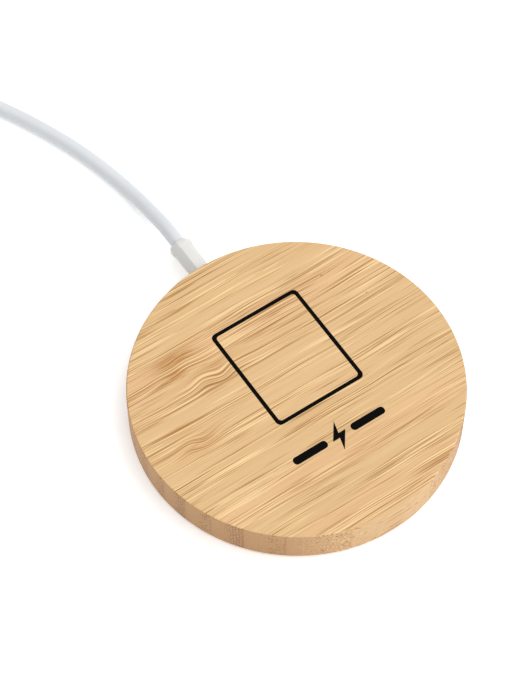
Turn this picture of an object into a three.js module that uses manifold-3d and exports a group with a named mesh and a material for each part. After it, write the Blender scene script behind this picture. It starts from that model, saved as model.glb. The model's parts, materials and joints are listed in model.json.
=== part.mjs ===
// Wireless charging pad: a round bamboo block with a captive white cable.
// Millimetres, +Z up. The pad stands on its rubber feet at z = 0, its axis is the Z axis, the cable
// leaves towards +Y and the bamboo's grain runs along X.

import * as THREE from 'three';
import { mergeVertices } from 'three/addons/utils/BufferGeometryUtils.js';
import Module from 'manifold-3d';

const wasm = await Module();
wasm.setup();

// ---------------------------------------------------------------- driving dimensions

const gap = 0.3; // clearance left between pieces that touch

// Bamboo body
const padDiameter = 90;
const woodThickness = 11;
const rimRound = 0.35;
const topSkin = 2; // wood left above the coil
const rimWidth = 4; // wood outside the cover's seat
const ledgeWidth = 8; // wood that the cover is screwed to
const exitHeight = 5.5; // cable's axis above the wood's underside

// Base cover, feet and screws
const coverThickness = 1.8;
const coverInset = 0.2; // cover's underside above the wood's underside
const footDiameter = 10;
const footStandoff = 0.8; // how far a foot stands below the wood
const footSeatDepth = 0.7; // recess in the cover that locates a foot
const footInset = 8.7; // foot's centre from the cover's edge
const footCount = 4;
const coverScrewCount = 4;
const coverScrewLength = 6;

// Screws: shank and head
const coverScrew = { shank: 2.2, head: 4.2, headHeight: 1, drive: 1.5 };
const boardScrew = { shank: 2, head: 3.6, headHeight: 1, drive: 1.2 };
const boardScrewLength = 4.4;

// Coil stack, from the wood downwards
const foamThickness = 0.4;
const coilInner = 21;
const coilTurns = 8;
const litzDiameter = 1;
const ferriteMargin = 2.4; // ferrite beyond the coil
const ferriteThickness = 0.8;
const ferriteToScrew = 1; // clear of the board screws' heads
const solderStrip = 3; // board left beyond the ferrite at each end
const leadSlotWidth = 2.4;

// Circuit board
const boardWidth = 34;
const boardToPocket = 1.1; // board's corners to the pocket's wall
const boardThickness = 1;
const boardCorner = 3;
const standoffDiameter = 5.2;
const boardScrewInset = 3.6; // from the board's edges

// Strain relief
const bootLength = 12; // outside the wood
const bootRootWall = 0.7; // added to the cable's radius on each side
const bootTipWall = 0.8;
const bootLipWall = 1;
const bootFlatten = 0.3; // how much less high than wide it is
const bootChamferShare = 0.3; // of its width, which makes it nearly a regular octagon
const bootLipLength = 2;
const bootSocketDepth = 2.4;
const neckWidth = 5.2; // the part inside the wall
const neckHeight = 5;
const flangeOverhang = 1.2; // inner flange beyond the channel
const flangeLength = 2;
const neckCorner = 1.1;

// Cable
const cableDiameter = 4.2;
const wireDiameter = 1;
const wirePitch = 2;

// Put-away coil of cable
const coilCentre = new THREE.Vector2(-60, 137);
const coilMeanRadius = 25.2;
const coilBandWidth = 16.2; // from the innermost to the outermost turn, outside
const coilLayers = 2;
const tieWidth = 9;
const tieThickness = 0.8;
const tieAngle = 80;

// USB-A plug at the far end
const plugBody = { width: 15.6, height: 8, length: 21 };
const plugNeck = { start: 6, end: 7.4, length: 10 };
const plugShell = { width: 12, height: 4.5, length: 18.8, wall: 0.3 };
const plugSeatDepth = 6.8;
const plugTongueHeight = 1.5;
const plugContactHeight = 0.3;
const plugContactWidth = 1;
const plugContactPitch = 2.2;
const plugContactCount = 4;

// The route of the free cable, from the strain relief to its coil, and from the coil to the plug.
const leadRoute = [
  [0, 55.2, 6.3],
  [0.1, 59.4, 6.2],
  [0.2, 63.4, 5.9],
  [0.2, 67.4, 5.3],
  [0, 72.4, 4.4],
  [-0.2, 77.3, 3.5],
  [-0.6, 82, 2.7],
  [-1.2, 86.5, 2.25],
  [-2, 90.5, 2.15],
  [-2.9, 94.4, 2.15],
  [-3.9, 98.2, 2.15],
  [-5, 101.9, 2.15],
  [-6.1, 105.4, 2.15],
  [-10, 115.4, 2.15],
  [-14.2, 124.6, 2.15],
  [-19.2, 133.6, 2.3],
  [-24.6, 142.1, 2.6],
];
const tailRoute = [
  [-91.1, 119.8, 6.8],
  [-91.1, 116, 5.8],
  [-91.1, 112, 4.7],
  [-91.1, 108, 4.2],
];

// ---------------------------------------------------------------- levels that follow from them

const padRadius = padDiameter / 2;
const coverSeatRadius = padRadius - rimWidth;
const coverRadius = coverSeatRadius - gap;
const pocketRadius = coverSeatRadius - ledgeWidth;
const boardCornerRadius = pocketRadius - boardToPocket;
const boardLength = 2 * Math.sqrt(boardCornerRadius ** 2 - (boardWidth / 2) ** 2);
const boardScrewX = boardLength / 2 - boardScrewInset;
const boardScrewY = boardWidth / 2 - boardScrewInset;
const screwRoom = Math.hypot(boardScrewX, boardScrewY) - boardScrew.head / 2 - ferriteToScrew;
const ferriteRadius = Math.min(screwRoom, boardLength / 2 - solderStrip);
const coilOuterRadius = ferriteRadius - ferriteMargin;
const channelWidth = neckWidth + 2 * gap;
const channelHeight = neckHeight + 2 * gap;

const woodBottom = footStandoff;
const woodTop = woodBottom + woodThickness;
const pocketCeiling = woodTop - topSkin;
const coverBottom = woodBottom + coverInset;
const coverTop = coverBottom + coverThickness;
const foamTop = pocketCeiling - gap;
const coilTop = foamTop - foamThickness - gap;
const coilAxis = coilTop - litzDiameter / 2;
const ferriteTop = coilTop - litzDiameter - gap;
const ferriteBottom = ferriteTop - ferriteThickness;
const boardTop = ferriteBottom - gap;
const boardBottom = boardTop - boardThickness;
const standoffTop = boardBottom - gap;
const partsTop = boardBottom - gap; // top of what is soldered under the board
const exitAxis = woodBottom + exitHeight;

// ---------------------------------------------------------------- finishes

/** One material of its own for one piece. */
function finish(color, roughness, metalness = 0) {
  return new THREE.MeshStandardMaterial({ color, roughness, metalness });
}

const finishes = {
  bamboo: () => finish(0xe6c391, 0.55),
  shellPlastic: () => finish(0xdedcd6, 0.5),
  whiteRubber: () => finish(0xe8eaeb, 0.45),
  darkRubber: () => finish(0x3a3a3a, 0.8),
  foam: () => finish(0xf3efe2, 0.9),
  litz: () => finish(0xb5713f, 0.4, 0.8),
  ferrite: () => finish(0x3b3b3f, 0.6, 0.1),
  board: () => finish(0x1d6b3c, 0.45),
  chip: () => finish(0x1b1b1d, 0.5),
  capacitor: () => finish(0xb99a72, 0.5),
  steel: () => finish(0xc4c6c9, 0.3, 0.9),
  gold: () => finish(0xd9b45a, 0.3, 0.9),
  red: () => finish(0xc23027, 0.5),
  black: () => finish(0x202020, 0.5),
  green: () => finish(0x2f8f4a, 0.5),
  white: () => finish(0xf0f0f0, 0.5),
};

// ---------------------------------------------------------------- solid helpers

/** The manifold of a closed geometry: shared corners merged, only positions kept. */
function toSolid(geometry) {
  const bare = geometry.index ? geometry.toNonIndexed() : geometry.clone();
  bare.deleteAttribute('normal');
  bare.deleteAttribute('uv');
  const merged = mergeVertices(bare, 1e-4);
  return new wasm.Manifold(
    new wasm.Mesh({
      numProp: 3,
      vertProperties: new Float32Array(merged.attributes.position.array),
      triVerts: new Uint32Array(merged.index.array),
    }),
  );
}

/** The geometry of a manifold. */
function toGeometry(solid) {
  const mesh = solid.getMesh();
  const geometry = new THREE.BufferGeometry();
  geometry.setAttribute('position', new THREE.BufferAttribute(mesh.vertProperties, 3));
  geometry.setIndex(new THREE.BufferAttribute(mesh.triVerts, 1));
  geometry.computeVertexNormals();
  return geometry;
}

/** One geometry less others. */
function cut(geometry, ...tools) {
  const solid = tools.reduce((left, tool) => left.subtract(toSolid(tool)), toSolid(geometry));
  return toGeometry(solid);
}

/** Several overlapping geometries as one. */
function join(first, ...others) {
  const solid = others.reduce((sum, other) => sum.add(toSolid(other)), toSolid(first));
  return toGeometry(solid);
}

/** A turned piece about Z. The profile is a list of [radius, z] that closes on the axis or on itself. */
function turned(profile, segments) {
  const points = profile.map(([r, z]) => new THREE.Vector2(r, z));
  return new THREE.LatheGeometry(points, segments).rotateX(Math.PI / 2);
}

/** A plain round bar about Z between two heights. */
function bar(diameter, low, high, segments = 16) {
  const r = diameter / 2;
  return turned([[0, low], [r, low], [r, high], [0, high]], segments);
}

/** A flat ring about Z between two heights. */
function ring(inner, outer, low, high, segments) {
  const profile = [[inner, low], [outer, low], [outer, high], [inner, high], [inner, low]];
  return turned(profile, segments);
}

/** A box between two heights, centred on X and Y. */
function block(width, depth, low, high, x = 0, y = 0) {
  return new THREE.BoxGeometry(width, depth, high - low).translate(x, y, (low + high) / 2);
}

/** The corners of a rounded rectangle, anticlockwise, with a few points on each round. */
function roundedOutline(width, height, radius, perCorner = 4) {
  const centres = [[1, -1], [1, 1], [-1, 1], [-1, -1]];
  return centres.flatMap(([sx, sy], corner) =>
    Array.from({ length: perCorner }, (_, k) => {
      const angle = (corner - 1 + k / (perCorner - 1)) * (Math.PI / 2);
      const x = sx * (width / 2 - radius) + radius * Math.cos(angle);
      const y = sy * (height / 2 - radius) + radius * Math.sin(angle);
      return new THREE.Vector2(x, y);
    }),
  );
}

/** A rounded rectangle as a shape. */
function roundedRectangle(width, height, radius) {
  return new THREE.Shape(roundedOutline(width, height, radius));
}

/** A rounded plate between two heights. */
function plate(width, depth, radius, low, high) {
  const options = { depth: high - low, bevelEnabled: false };
  return new THREE.ExtrudeGeometry(roundedRectangle(width, depth, radius), options).translate(0, 0, low);
}

/**
 * A body along Y through rounded rectangles: sections of { y, width, height, corner }, y rising.
 * Two points per corner make chamfers instead of rounds.
 */
function lofted(sections, axisX, axisZ, perCorner = 4) {
  const rings = sections.map(({ y, width, height, corner }) => {
    const outline = roundedOutline(width, height, corner, perCorner);
    return outline.map((p) => new THREE.Vector3(axisX + p.x, y, axisZ + p.y));
  });
  const count = rings[0].length;
  const positions = [];
  const triangle = (a, b, c) => positions.push(...a.toArray(), ...b.toArray(), ...c.toArray());
  for (let i = 0; i + 1 < rings.length; i += 1) {
    for (let k = 0; k < count; k += 1) {
      const next = (k + 1) % count;
      triangle(rings[i][k], rings[i + 1][k], rings[i][next]);
      triangle(rings[i][next], rings[i + 1][k], rings[i + 1][next]);
    }
  }
  const last = rings[rings.length - 1];
  for (let k = 1; k + 1 < count; k += 1) {
    triangle(rings[0][0], rings[0][k], rings[0][k + 1]);
    triangle(last[0], last[k + 1], last[k]);
  }
  const geometry = new THREE.BufferGeometry();
  geometry.setAttribute('position', new THREE.Float32BufferAttribute(positions, 3));
  geometry.computeVertexNormals();
  return geometry;
}

/** A round tube along points. */
function tube(points, diameter, sides, steps) {
  const section = new THREE.Shape();
  for (let k = 0; k < sides; k += 1) {
    const angle = (k / sides) * Math.PI * 2;
    const x = (diameter / 2) * Math.cos(angle);
    const y = (diameter / 2) * Math.sin(angle);
    if (k === 0) section.moveTo(x, y);
    else section.lineTo(x, y);
  }
  section.closePath();
  const path = new THREE.CatmullRomCurve3(points.map((p) => new THREE.Vector3(...p)));
  return new THREE.ExtrudeGeometry(section, { steps, bevelEnabled: false, extrudePath: path });
}

/** Places spread evenly round the Z axis. */
function around(count, radius, firstDegrees) {
  return Array.from({ length: count }, (_, k) => {
    const angle = THREE.MathUtils.degToRad(firstDegrees) + (k / count) * Math.PI * 2;
    return { x: radius * Math.cos(angle), y: radius * Math.sin(angle) };
  });
}

const pad = new THREE.Group();

/** Adds one named piece to a group. */
function add(name, geometry, material, group = pad) {
  const mesh = new THREE.Mesh(geometry, material);
  mesh.name = name;
  group.add(mesh);
  return mesh;
}

// ---------------------------------------------------------------- bamboo body

const footPlaces = around(footCount, coverRadius - footInset, 0);
const coverScrewPlaces = around(coverScrewCount, pocketRadius + ledgeWidth / 2, 45);
const coverScrewTip = coverBottom + coverScrewLength;

/** The turned block: a top skin, a pocket and ledge underneath, and a channel through the wall. */
function bambooBody() {
  const r = padRadius;
  const e = rimRound;
  const outside = [
    [0, woodBottom],
    [r - e, woodBottom],
    [r, woodBottom + e],
    [r, woodTop - e],
    [r - e, woodTop],
    [0, woodTop],
  ];
  const below = woodBottom - 1;
  const ledge = bar(2 * coverSeatRadius, below, coverTop + gap, 72);
  const pocket = bar(2 * pocketRadius, below, pocketCeiling, 60);
  const channel = plate(channelWidth, channelHeight, neckCorner, 0, padRadius);
  channel.rotateX(-Math.PI / 2).translate(0, pocketRadius - 4, exitAxis);
  const holes = coverScrewPlaces.map(({ x, y }) =>
    bar(coverScrew.shank + 2 * gap, below, coverScrewTip + gap, 12).translate(x, y, 0),
  );
  return cut(turned(outside, 80), ledge, pocket, channel, ...holes);
}

// ---------------------------------------------------------------- base cover, feet and screws

const boardScrewPlaces = [-1, 1].flatMap((sx) =>
  [-1, 1].map((sy) => ({ x: sx * boardScrewX, y: sy * boardScrewY })),
);
const boardScrewSeat = boardTop + gap;
const boardScrewTip = boardScrewSeat - boardScrewLength;

/** The moulded cover: a disc with foot seats, countersunk holes and four board standoffs. */
function baseCover() {
  const disc = bar(2 * coverRadius, coverBottom, coverTop, 72);
  const standoffs = boardScrewPlaces.map(({ x, y }) =>
    bar(standoffDiameter, coverTop - 0.5, standoffTop).translate(x, y, 0),
  );
  const seats = footPlaces.map(({ x, y }) =>
    bar(footDiameter + 2 * gap, coverBottom - 1, coverBottom + footSeatDepth).translate(x, y, 0),
  );
  const screwHoles = coverScrewPlaces.flatMap(({ x, y }) => [
    bar(coverScrew.shank + 2 * gap, coverBottom - 1, coverTop + 1, 12).translate(x, y, 0),
    bar(coverScrew.head + 2 * gap, coverBottom - 1, coverBottom + coverScrew.headHeight + gap, 16)
      .translate(x, y, 0),
  ]);
  const pilots = boardScrewPlaces.map(({ x, y }) =>
    bar(boardScrew.shank + 2 * gap, boardScrewTip - gap, standoffTop + 1, 12).translate(x, y, 0),
  );
  return cut(join(disc, ...standoffs), ...seats, ...screwHoles, ...pilots);
}

/** A screw about Z, head down, from the head's face at z = 0 to the tip. */
function screw({ shank, head, headHeight, drive }, length) {
  return turned(
    [
      [0, headHeight * 0.6],
      [drive / 2, headHeight * 0.6],
      [drive / 2, 0],
      [head / 2 - 0.2, 0],
      [head / 2, 0.2],
      [head / 2, headHeight],
      [shank / 2, headHeight],
      [shank / 2, length - 0.8],
      [0, length],
    ],
    12,
  );
}

/** A rubber foot about Z: domed underside, flat back. */
function rubberFoot() {
  const r = footDiameter / 2;
  const top = coverBottom + footSeatDepth - gap;
  return turned([[0, 0], [r - 1.2, 0], [r - 0.4, 0.25], [r, 0.7], [r, top], [0, top]], 20);
}

// ---------------------------------------------------------------- coil stack

const coilStart = coilInner / 2 + litzDiameter / 2;

/** Points of the coil's spiral, from its inner end to its outer end. */
function coilPoints() {
  const perTurn = 18;
  return Array.from({ length: coilTurns * perTurn + 1 }, (_, k) => {
    const turn = k / perTurn;
    const angle = turn * Math.PI * 2;
    const r = coilStart + (turn / coilTurns) * (coilOuterRadius - litzDiameter / 2 - coilStart);
    return [r * Math.cos(angle), r * Math.sin(angle), coilAxis];
  });
}

/** The flat spiral of Litz wire. */
function transmitterCoil() {
  const points = coilPoints();
  return tube(points, litzDiameter, 6, points.length - 1);
}

/** The ferrite disc with a radial slot for the inner lead. */
function ferriteShield() {
  const disc = bar(2 * ferriteRadius, ferriteBottom, ferriteTop, 40);
  const slotStart = coilStart - 5;
  const slot = block(ferriteRadius, leadSlotWidth, ferriteBottom - 1, ferriteTop + 1);
  return cut(disc, slot.translate(slotStart + ferriteRadius / 2, 0, 0));
}

/** The lead from the coil's inner end, down through the slot and out to the board. */
function innerLead() {
  const low = (ferriteTop + ferriteBottom) / 2 + 0.1;
  return tube(
    [
      [coilStart, -litzDiameter / 2 - gap, coilAxis - 0.2],
      [coilStart - 0.4, -litzDiameter / 2 - gap - 0.2, coilAxis - 0.6],
      [coilStart + 0.6, -0.6, low + 0.1],
      [coilStart + 3, -0.2, low],
      [ferriteRadius - 3, -0.2, low],
      [ferriteRadius + 1.6, -0.2, low],
    ],
    litzDiameter * 0.8,
    8,
    16,
  );
}

/** The lead from the coil's outer end to the board. */
function outerLead() {
  const low = (ferriteTop + ferriteBottom) / 2 + 0.1;
  const edge = ferriteRadius + 1.2;
  return tube(
    [
      [coilOuterRadius - 0.2, litzDiameter / 2 + gap, coilAxis],
      [coilOuterRadius + 0.9, 2.4, coilAxis],
      [edge, 4, coilAxis - 0.2],
      [edge + 0.6, 5.2, low + 0.4],
      [edge + 0.4, 6.4, low],
    ],
    litzDiameter * 0.8,
    8,
    14,
  );
}

// ---------------------------------------------------------------- circuit board and its parts

/** The board, with a hole for each screw. */
function circuitBoard() {
  const holes = boardScrewPlaces.map(({ x, y }) =>
    bar(boardScrew.shank + 2 * gap, boardBottom - 1, boardTop + 1, 12).translate(x, y, 0),
  );
  return cut(plate(boardLength, boardWidth, boardCorner, boardBottom, boardTop), ...holes);
}

// name, width along X, depth along Y, height, x, y, finish
const boardParts = [
  ['control_chip', 7, 7, 0.9, 0, 1, finishes.chip],
  ['driver_chip_1', 5, 4, 1, -9.5, 5, finishes.chip],
  ['driver_chip_2', 5, 4, 1, -9.5, -3, finishes.chip],
  ['resonant_capacitor_1', 4.5, 3.2, 1.5, 9, 5.4, finishes.capacitor],
  ['resonant_capacitor_2', 4.5, 3.2, 1.5, 15, 5.4, finishes.capacitor],
  ['resonant_capacitor_3', 4.5, 3.2, 1.5, 9, 0.6, finishes.capacitor],
  ['resonant_capacitor_4', 4.5, 3.2, 1.5, 15, 0.6, finishes.capacitor],
  ['input_capacitor_1', 3.2, 2.5, 1.4, -8, 12, finishes.capacitor],
  ['input_capacitor_2', 3.2, 2.5, 1.4, 8, 12, finishes.capacitor],
  ['power_inductor', 6.6, 6.6, 1.6, -18, 1, finishes.ferrite],
  ['sense_resistor', 6.4, 3.2, 0.6, 2, -9, finishes.chip],
];

// ---------------------------------------------------------------- wires and strain relief

const flangeWidth = channelWidth + 2 * flangeOverhang;
const flangeHeight = channelHeight + flangeOverhang / 2;
const flangeSag = pocketRadius - Math.sqrt(pocketRadius ** 2 - (flangeWidth / 2) ** 2);
const bootFlangeFace = pocketRadius - flangeSag - gap;
const bootOuterFace = padRadius + gap;
const bootEnd = bootOuterFace + bootLength;

/** One wire from the strain relief down to the underside of the board. */
function wire(x) {
  const start = bootFlangeFace - flangeLength - gap;
  const low = partsTop - wireDiameter / 2 - 0.1;
  return tube(
    [
      [x, start, exitAxis],
      [x, start - 3, exitAxis - 0.2],
      [x, (start + boardWidth / 2) / 2, (exitAxis + low) / 2 - 0.2],
      [x, boardWidth / 2 + 1.5, low + 0.1],
      [x, boardWidth / 2 - 2, low],
      [x, boardWidth / 2 - 5, low],
    ],
    wireDiameter,
    8,
    12,
  );
}

/** A cross-section of the boot: the cable with a wall round it. */
function bootSection(y, wall) {
  const width = cableDiameter + 2 * wall;
  return { y, width, height: width - bootFlatten, corner: bootChamferShare * width };
}

/** The moulded strain relief: inner flange, neck in the channel, flared boot with a cable socket. */
function strainRelief() {
  const corner = neckCorner;
  const innerFace = bootFlangeFace - flangeLength;
  const flangeSize = { width: flangeWidth, height: flangeHeight, corner };
  const flangeEdge = { width: flangeWidth - 1, height: flangeHeight - 1, corner };
  const neckSize = { width: neckWidth, height: neckHeight, corner };
  const flange = lofted(
    [
      { y: innerFace, ...flangeEdge },
      { y: innerFace + 0.6, ...flangeSize },
      { y: bootFlangeFace, ...flangeSize },
    ],
    0,
    exitAxis,
  );
  const neck = lofted(
    [
      { y: innerFace + 0.5, ...neckSize },
      { y: bootOuterFace + 1, ...neckSize },
    ],
    0,
    exitAxis,
  );
  const lipStart = bootEnd - bootLipLength;
  const boot = lofted(
    [
      bootSection(bootOuterFace, bootRootWall),
      bootSection(lipStart - 0.5, bootTipWall),
      bootSection(lipStart, bootLipWall),
      bootSection(bootEnd - 0.7, bootLipWall),
      bootSection(bootEnd, bootRootWall),
    ],
    0,
    exitAxis,
    2,
  );
  const socket = bar(cableDiameter + 2 * gap, 0, bootSocketDepth + 1, 20);
  socket.rotateX(-Math.PI / 2).translate(0, bootEnd - bootSocketDepth, exitAxis);
  return cut(join(boot, neck, flange), socket);
}

// ---------------------------------------------------------------- cable, its coil and the tie

const coilBottom = tieThickness + gap;
const coilHeight = coilLayers * cableDiameter;
const coilInnerEdge = coilMeanRadius - coilBandWidth / 2;
const coilOuterEdge = coilMeanRadius + coilBandWidth / 2;

/** The outer shape of the wound cable. */
function cableCoil() {
  const low = coilBottom;
  const high = coilBottom + coilHeight;
  const body = ring(coilInnerEdge, coilOuterEdge, low, high, 48);
  return body.translate(coilCentre.x, coilCentre.y, 0);
}

/** A strap round the coil's section, seen along the coil as a rounded loop. */
function cableTie() {
  const innerWall = Math.sqrt(coilInnerEdge ** 2 - (tieWidth / 2) ** 2) - gap;
  const outerWall = coilOuterEdge + gap;
  const width = outerWall - innerWall;
  const height = coilHeight + 2 * gap;
  const strap = roundedRectangle(width + 2 * tieThickness, height + 2 * tieThickness, 1.4);
  strap.holes.push(roundedRectangle(width, height, 0.4));
  const loop = new THREE.ExtrudeGeometry(strap, { depth: tieWidth, bevelEnabled: false });
  loop.translate((innerWall + outerWall) / 2, 0, -tieWidth / 2).rotateX(Math.PI / 2);
  loop.translate(0, 0, coilBottom + coilHeight / 2);
  loop.rotateZ(THREE.MathUtils.degToRad(tieAngle));
  return loop.translate(coilCentre.x, coilCentre.y, 0);
}

// ---------------------------------------------------------------- plug

const [plugX, tailEndY, plugZ] = tailRoute[tailRoute.length - 1];
const plugNeckStart = tailEndY - gap;
const plugBodyBack = plugNeckStart - plugNeck.length;
const plugBodyFront = plugBodyBack - plugBody.length;
const plugShellBack = plugBodyFront + plugSeatDepth - gap;
const plugShellFront = plugShellBack - plugShell.length;

/** The plug's moulding: a tapered neck and a grip, with a seat for the metal shell. */
function plugMoulding() {
  const grip = { width: plugBody.width, height: plugBody.height, corner: 1.6 };
  const body = lofted(
    [
      { y: plugBodyFront, width: plugBody.width - 1, height: plugBody.height - 1, corner: 1.6 },
      { y: plugBodyFront + 0.6, ...grip },
      { y: plugBodyBack - 3, ...grip },
      { y: plugBodyBack - 1, width: plugBody.width - 3, height: plugBody.height - 0.4, corner: 1.6 },
      { y: plugBodyBack, width: plugNeck.end + 1, height: plugNeck.end, corner: 1.6 },
    ],
    plugX,
    plugZ,
  );
  const taper = turned(
    [
      [0, -1],
      [plugNeck.end / 2, -1],
      [plugNeck.end / 2, 0],
      [plugNeck.start / 2, plugNeck.length],
      [0, plugNeck.length],
    ],
    16,
  );
  taper.rotateX(-Math.PI / 2).translate(plugX, plugBodyBack, plugZ);
  const seatWidth = plugShell.width + 2 * gap;
  const seatHeight = plugShell.height + 2 * gap;
  const seat = new THREE.BoxGeometry(seatWidth, plugSeatDepth + 1, seatHeight);
  seat.translate(plugX, plugBodyFront + (plugSeatDepth - 1) / 2, plugZ);
  return cut(join(body, taper), seat);
}

/** The plug's metal shell, open at the front. */
function plugShellTube() {
  const { width, height, length, wall } = plugShell;
  const outer = new THREE.BoxGeometry(width, length, height);
  const inner = new THREE.BoxGeometry(width - 2 * wall, length, height - 2 * wall);
  inner.translate(0, -wall, 0);
  return cut(outer, inner).translate(plugX, plugShellBack - length / 2, plugZ);
}

/** A box inside the plug's shell, from its back towards the mouth. */
function insidePlug(width, height, length, x, bottom) {
  const back = plugShellBack - plugShell.wall - gap;
  const box = new THREE.BoxGeometry(width, length, height);
  return box.translate(plugX + x, back - length / 2, bottom + height / 2);
}

// ---------------------------------------------------------------- assembly

add('bamboo_body', bambooBody(), finishes.bamboo());
add('base_cover', baseCover(), finishes.shellPlastic());

coverScrewPlaces.forEach(({ x, y }, k) => {
  const piece = add(`cover_screw_${k + 1}`, screw(coverScrew, coverScrewLength), finishes.steel());
  piece.position.set(x, y, coverBottom);
});

footPlaces.forEach(({ x, y }, k) => {
  const piece = add(`rubber_foot_${k + 1}`, rubberFoot(), finishes.darkRubber());
  piece.position.set(x, y, 0);
});

const foam = ring(coilInner / 2, coilOuterRadius, foamTop - foamThickness, foamTop, 36);
add('foam_ring', foam, finishes.foam());
add('transmitter_coil', transmitterCoil(), finishes.litz());
add('coil_lead_inner', innerLead(), finishes.litz());
add('coil_lead_outer', outerLead(), finishes.litz());
add('ferrite_shield', ferriteShield(), finishes.ferrite());
add('circuit_board', circuitBoard(), finishes.board());

for (const [name, width, depth, height, x, y, look] of boardParts) {
  add(name, block(width, depth, partsTop - height, partsTop, x, y), look());
}

boardScrewPlaces.forEach(({ x, y }, k) => {
  const piece = add(`board_screw_${k + 1}`, screw(boardScrew, boardScrewLength), finishes.steel());
  piece.rotation.x = Math.PI;
  piece.position.set(x, y, boardScrewSeat + boardScrew.headHeight);
});

['red', 'white', 'green', 'black'].forEach((colour, k) => {
  add(`wire_${colour}`, wire((k - 1.5) * wirePitch), finishes[colour]());
});

add('strain_relief', strainRelief(), finishes.whiteRubber());
add('cable_lead', tube(leadRoute, cableDiameter, 10, 13), finishes.whiteRubber());
add('cable_coil', cableCoil(), finishes.whiteRubber());
add('cable_tail', tube(tailRoute, cableDiameter, 10, 4), finishes.whiteRubber());
add('cable_tie', cableTie(), finishes.darkRubber());
add('plug_moulding', plugMoulding(), finishes.whiteRubber());
add('plug_shell', plugShellTube(), finishes.steel());

const tongueLength = plugShell.length - 4;
const tongueWidth = plugShell.width - 2 * plugShell.wall - 2 * gap;
const tongueBottom = plugZ + plugShell.height / 2 - plugShell.wall - gap - plugTongueHeight;
const contactBottom = tongueBottom - gap - plugContactHeight;
const tongue = insidePlug(tongueWidth, plugTongueHeight, tongueLength, 0, tongueBottom);
add('plug_tongue', tongue, finishes.white());
for (let k = 0; k < plugContactCount; k += 1) {
  const x = (k - (plugContactCount - 1) / 2) * plugContactPitch;
  const contact = insidePlug(plugContactWidth, plugContactHeight, tongueLength - 2, x, contactBottom);
  add(`plug_contact_${k + 1}`, contact, finishes.gold());
}

export default pad;
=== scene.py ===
"""Wireless charging pad: a round bamboo block with a captive white cable, dressed for the studio.

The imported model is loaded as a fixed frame. Pieces that need a finer surface are modelled again
here in the same places, the rest keep their shape and get their finish. Lengths are in metres, +Z
is up, and the cable leaves along +Y.
"""

from __future__ import annotations

import json
import logging
import math
from dataclasses import dataclass
from enum import Enum
from typing import Callable, Iterable, Sequence

import bpy
from mathutils import Matrix, Vector

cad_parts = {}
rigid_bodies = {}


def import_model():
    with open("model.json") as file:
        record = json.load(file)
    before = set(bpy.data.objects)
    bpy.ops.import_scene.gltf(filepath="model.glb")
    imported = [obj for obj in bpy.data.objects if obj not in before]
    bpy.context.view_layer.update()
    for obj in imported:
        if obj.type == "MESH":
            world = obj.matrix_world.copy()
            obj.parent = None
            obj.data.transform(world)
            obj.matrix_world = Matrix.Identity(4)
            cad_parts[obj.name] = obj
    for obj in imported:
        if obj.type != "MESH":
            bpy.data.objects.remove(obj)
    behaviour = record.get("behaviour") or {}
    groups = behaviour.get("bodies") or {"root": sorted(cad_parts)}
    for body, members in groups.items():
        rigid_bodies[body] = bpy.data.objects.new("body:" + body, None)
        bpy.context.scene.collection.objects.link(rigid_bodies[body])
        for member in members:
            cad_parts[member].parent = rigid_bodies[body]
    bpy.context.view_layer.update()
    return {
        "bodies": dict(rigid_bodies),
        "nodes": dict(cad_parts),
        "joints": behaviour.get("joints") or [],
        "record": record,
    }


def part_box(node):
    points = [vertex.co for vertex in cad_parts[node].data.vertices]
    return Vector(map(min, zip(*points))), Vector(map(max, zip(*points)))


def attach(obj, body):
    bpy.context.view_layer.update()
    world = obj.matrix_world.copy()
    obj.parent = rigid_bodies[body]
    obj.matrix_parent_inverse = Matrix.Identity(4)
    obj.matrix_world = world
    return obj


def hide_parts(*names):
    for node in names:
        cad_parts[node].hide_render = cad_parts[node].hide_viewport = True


MM = 0.001
FINE = 1e-7  # corners nearer than this are one, on the smallest pieces
log = logging.getLogger("charging_pad")

Point = tuple[float, float, float]
Colour = tuple[float, float, float]


# ------------------------------------------------------------------ small tools


def srgb(red: int, green: int, blue: int) -> Colour:
    """Turns an ordinary 0 to 255 colour into the linear one that shaders use.

    Args:
        red: Red, 0 to 255.
        green: Green, 0 to 255.
        blue: Blue, 0 to 255.

    Returns:
        The linear colour.
    """

    def linear(value: int) -> float:
        """Returns one channel in linear light."""
        share = value / 255
        return share / 12.92 if share <= 0.04045 else ((share + 0.055) / 1.055) ** 2.4

    return linear(red), linear(green), linear(blue)


def deselect() -> None:
    """Leaves object mode with nothing selected."""
    if bpy.context.object is not None and bpy.context.object.mode != "OBJECT":
        bpy.ops.object.mode_set(mode="OBJECT")
    bpy.ops.object.select_all(action="DESELECT")


def only(piece: bpy.types.Object) -> None:
    """Makes one object the only selected and the active one.

    Args:
        piece: The object.
    """
    deselect()
    piece.select_set(True)
    bpy.context.view_layer.objects.active = piece


def edit_all() -> None:
    """Goes into edit mode on the active piece, with all of it selected."""
    bpy.ops.object.mode_set(mode="EDIT")
    bpy.ops.mesh.select_all(action="SELECT")


def done() -> None:
    """Leaves edit mode."""
    bpy.ops.object.mode_set(mode="OBJECT")


def new_piece(name: str) -> bpy.types.Object:
    """Names the primitive just added, and puts its place into its mesh.

    Args:
        name: The piece's name.

    Returns:
        The piece.
    """
    piece = bpy.context.object
    piece.name = name
    piece.data.name = name
    bpy.ops.object.transform_apply(location=True, rotation=True, scale=True)
    return piece


class Pick(Enum):
    """What is selected on a piece."""

    FACES = "FACE"
    EDGES = "EDGE"


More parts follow.
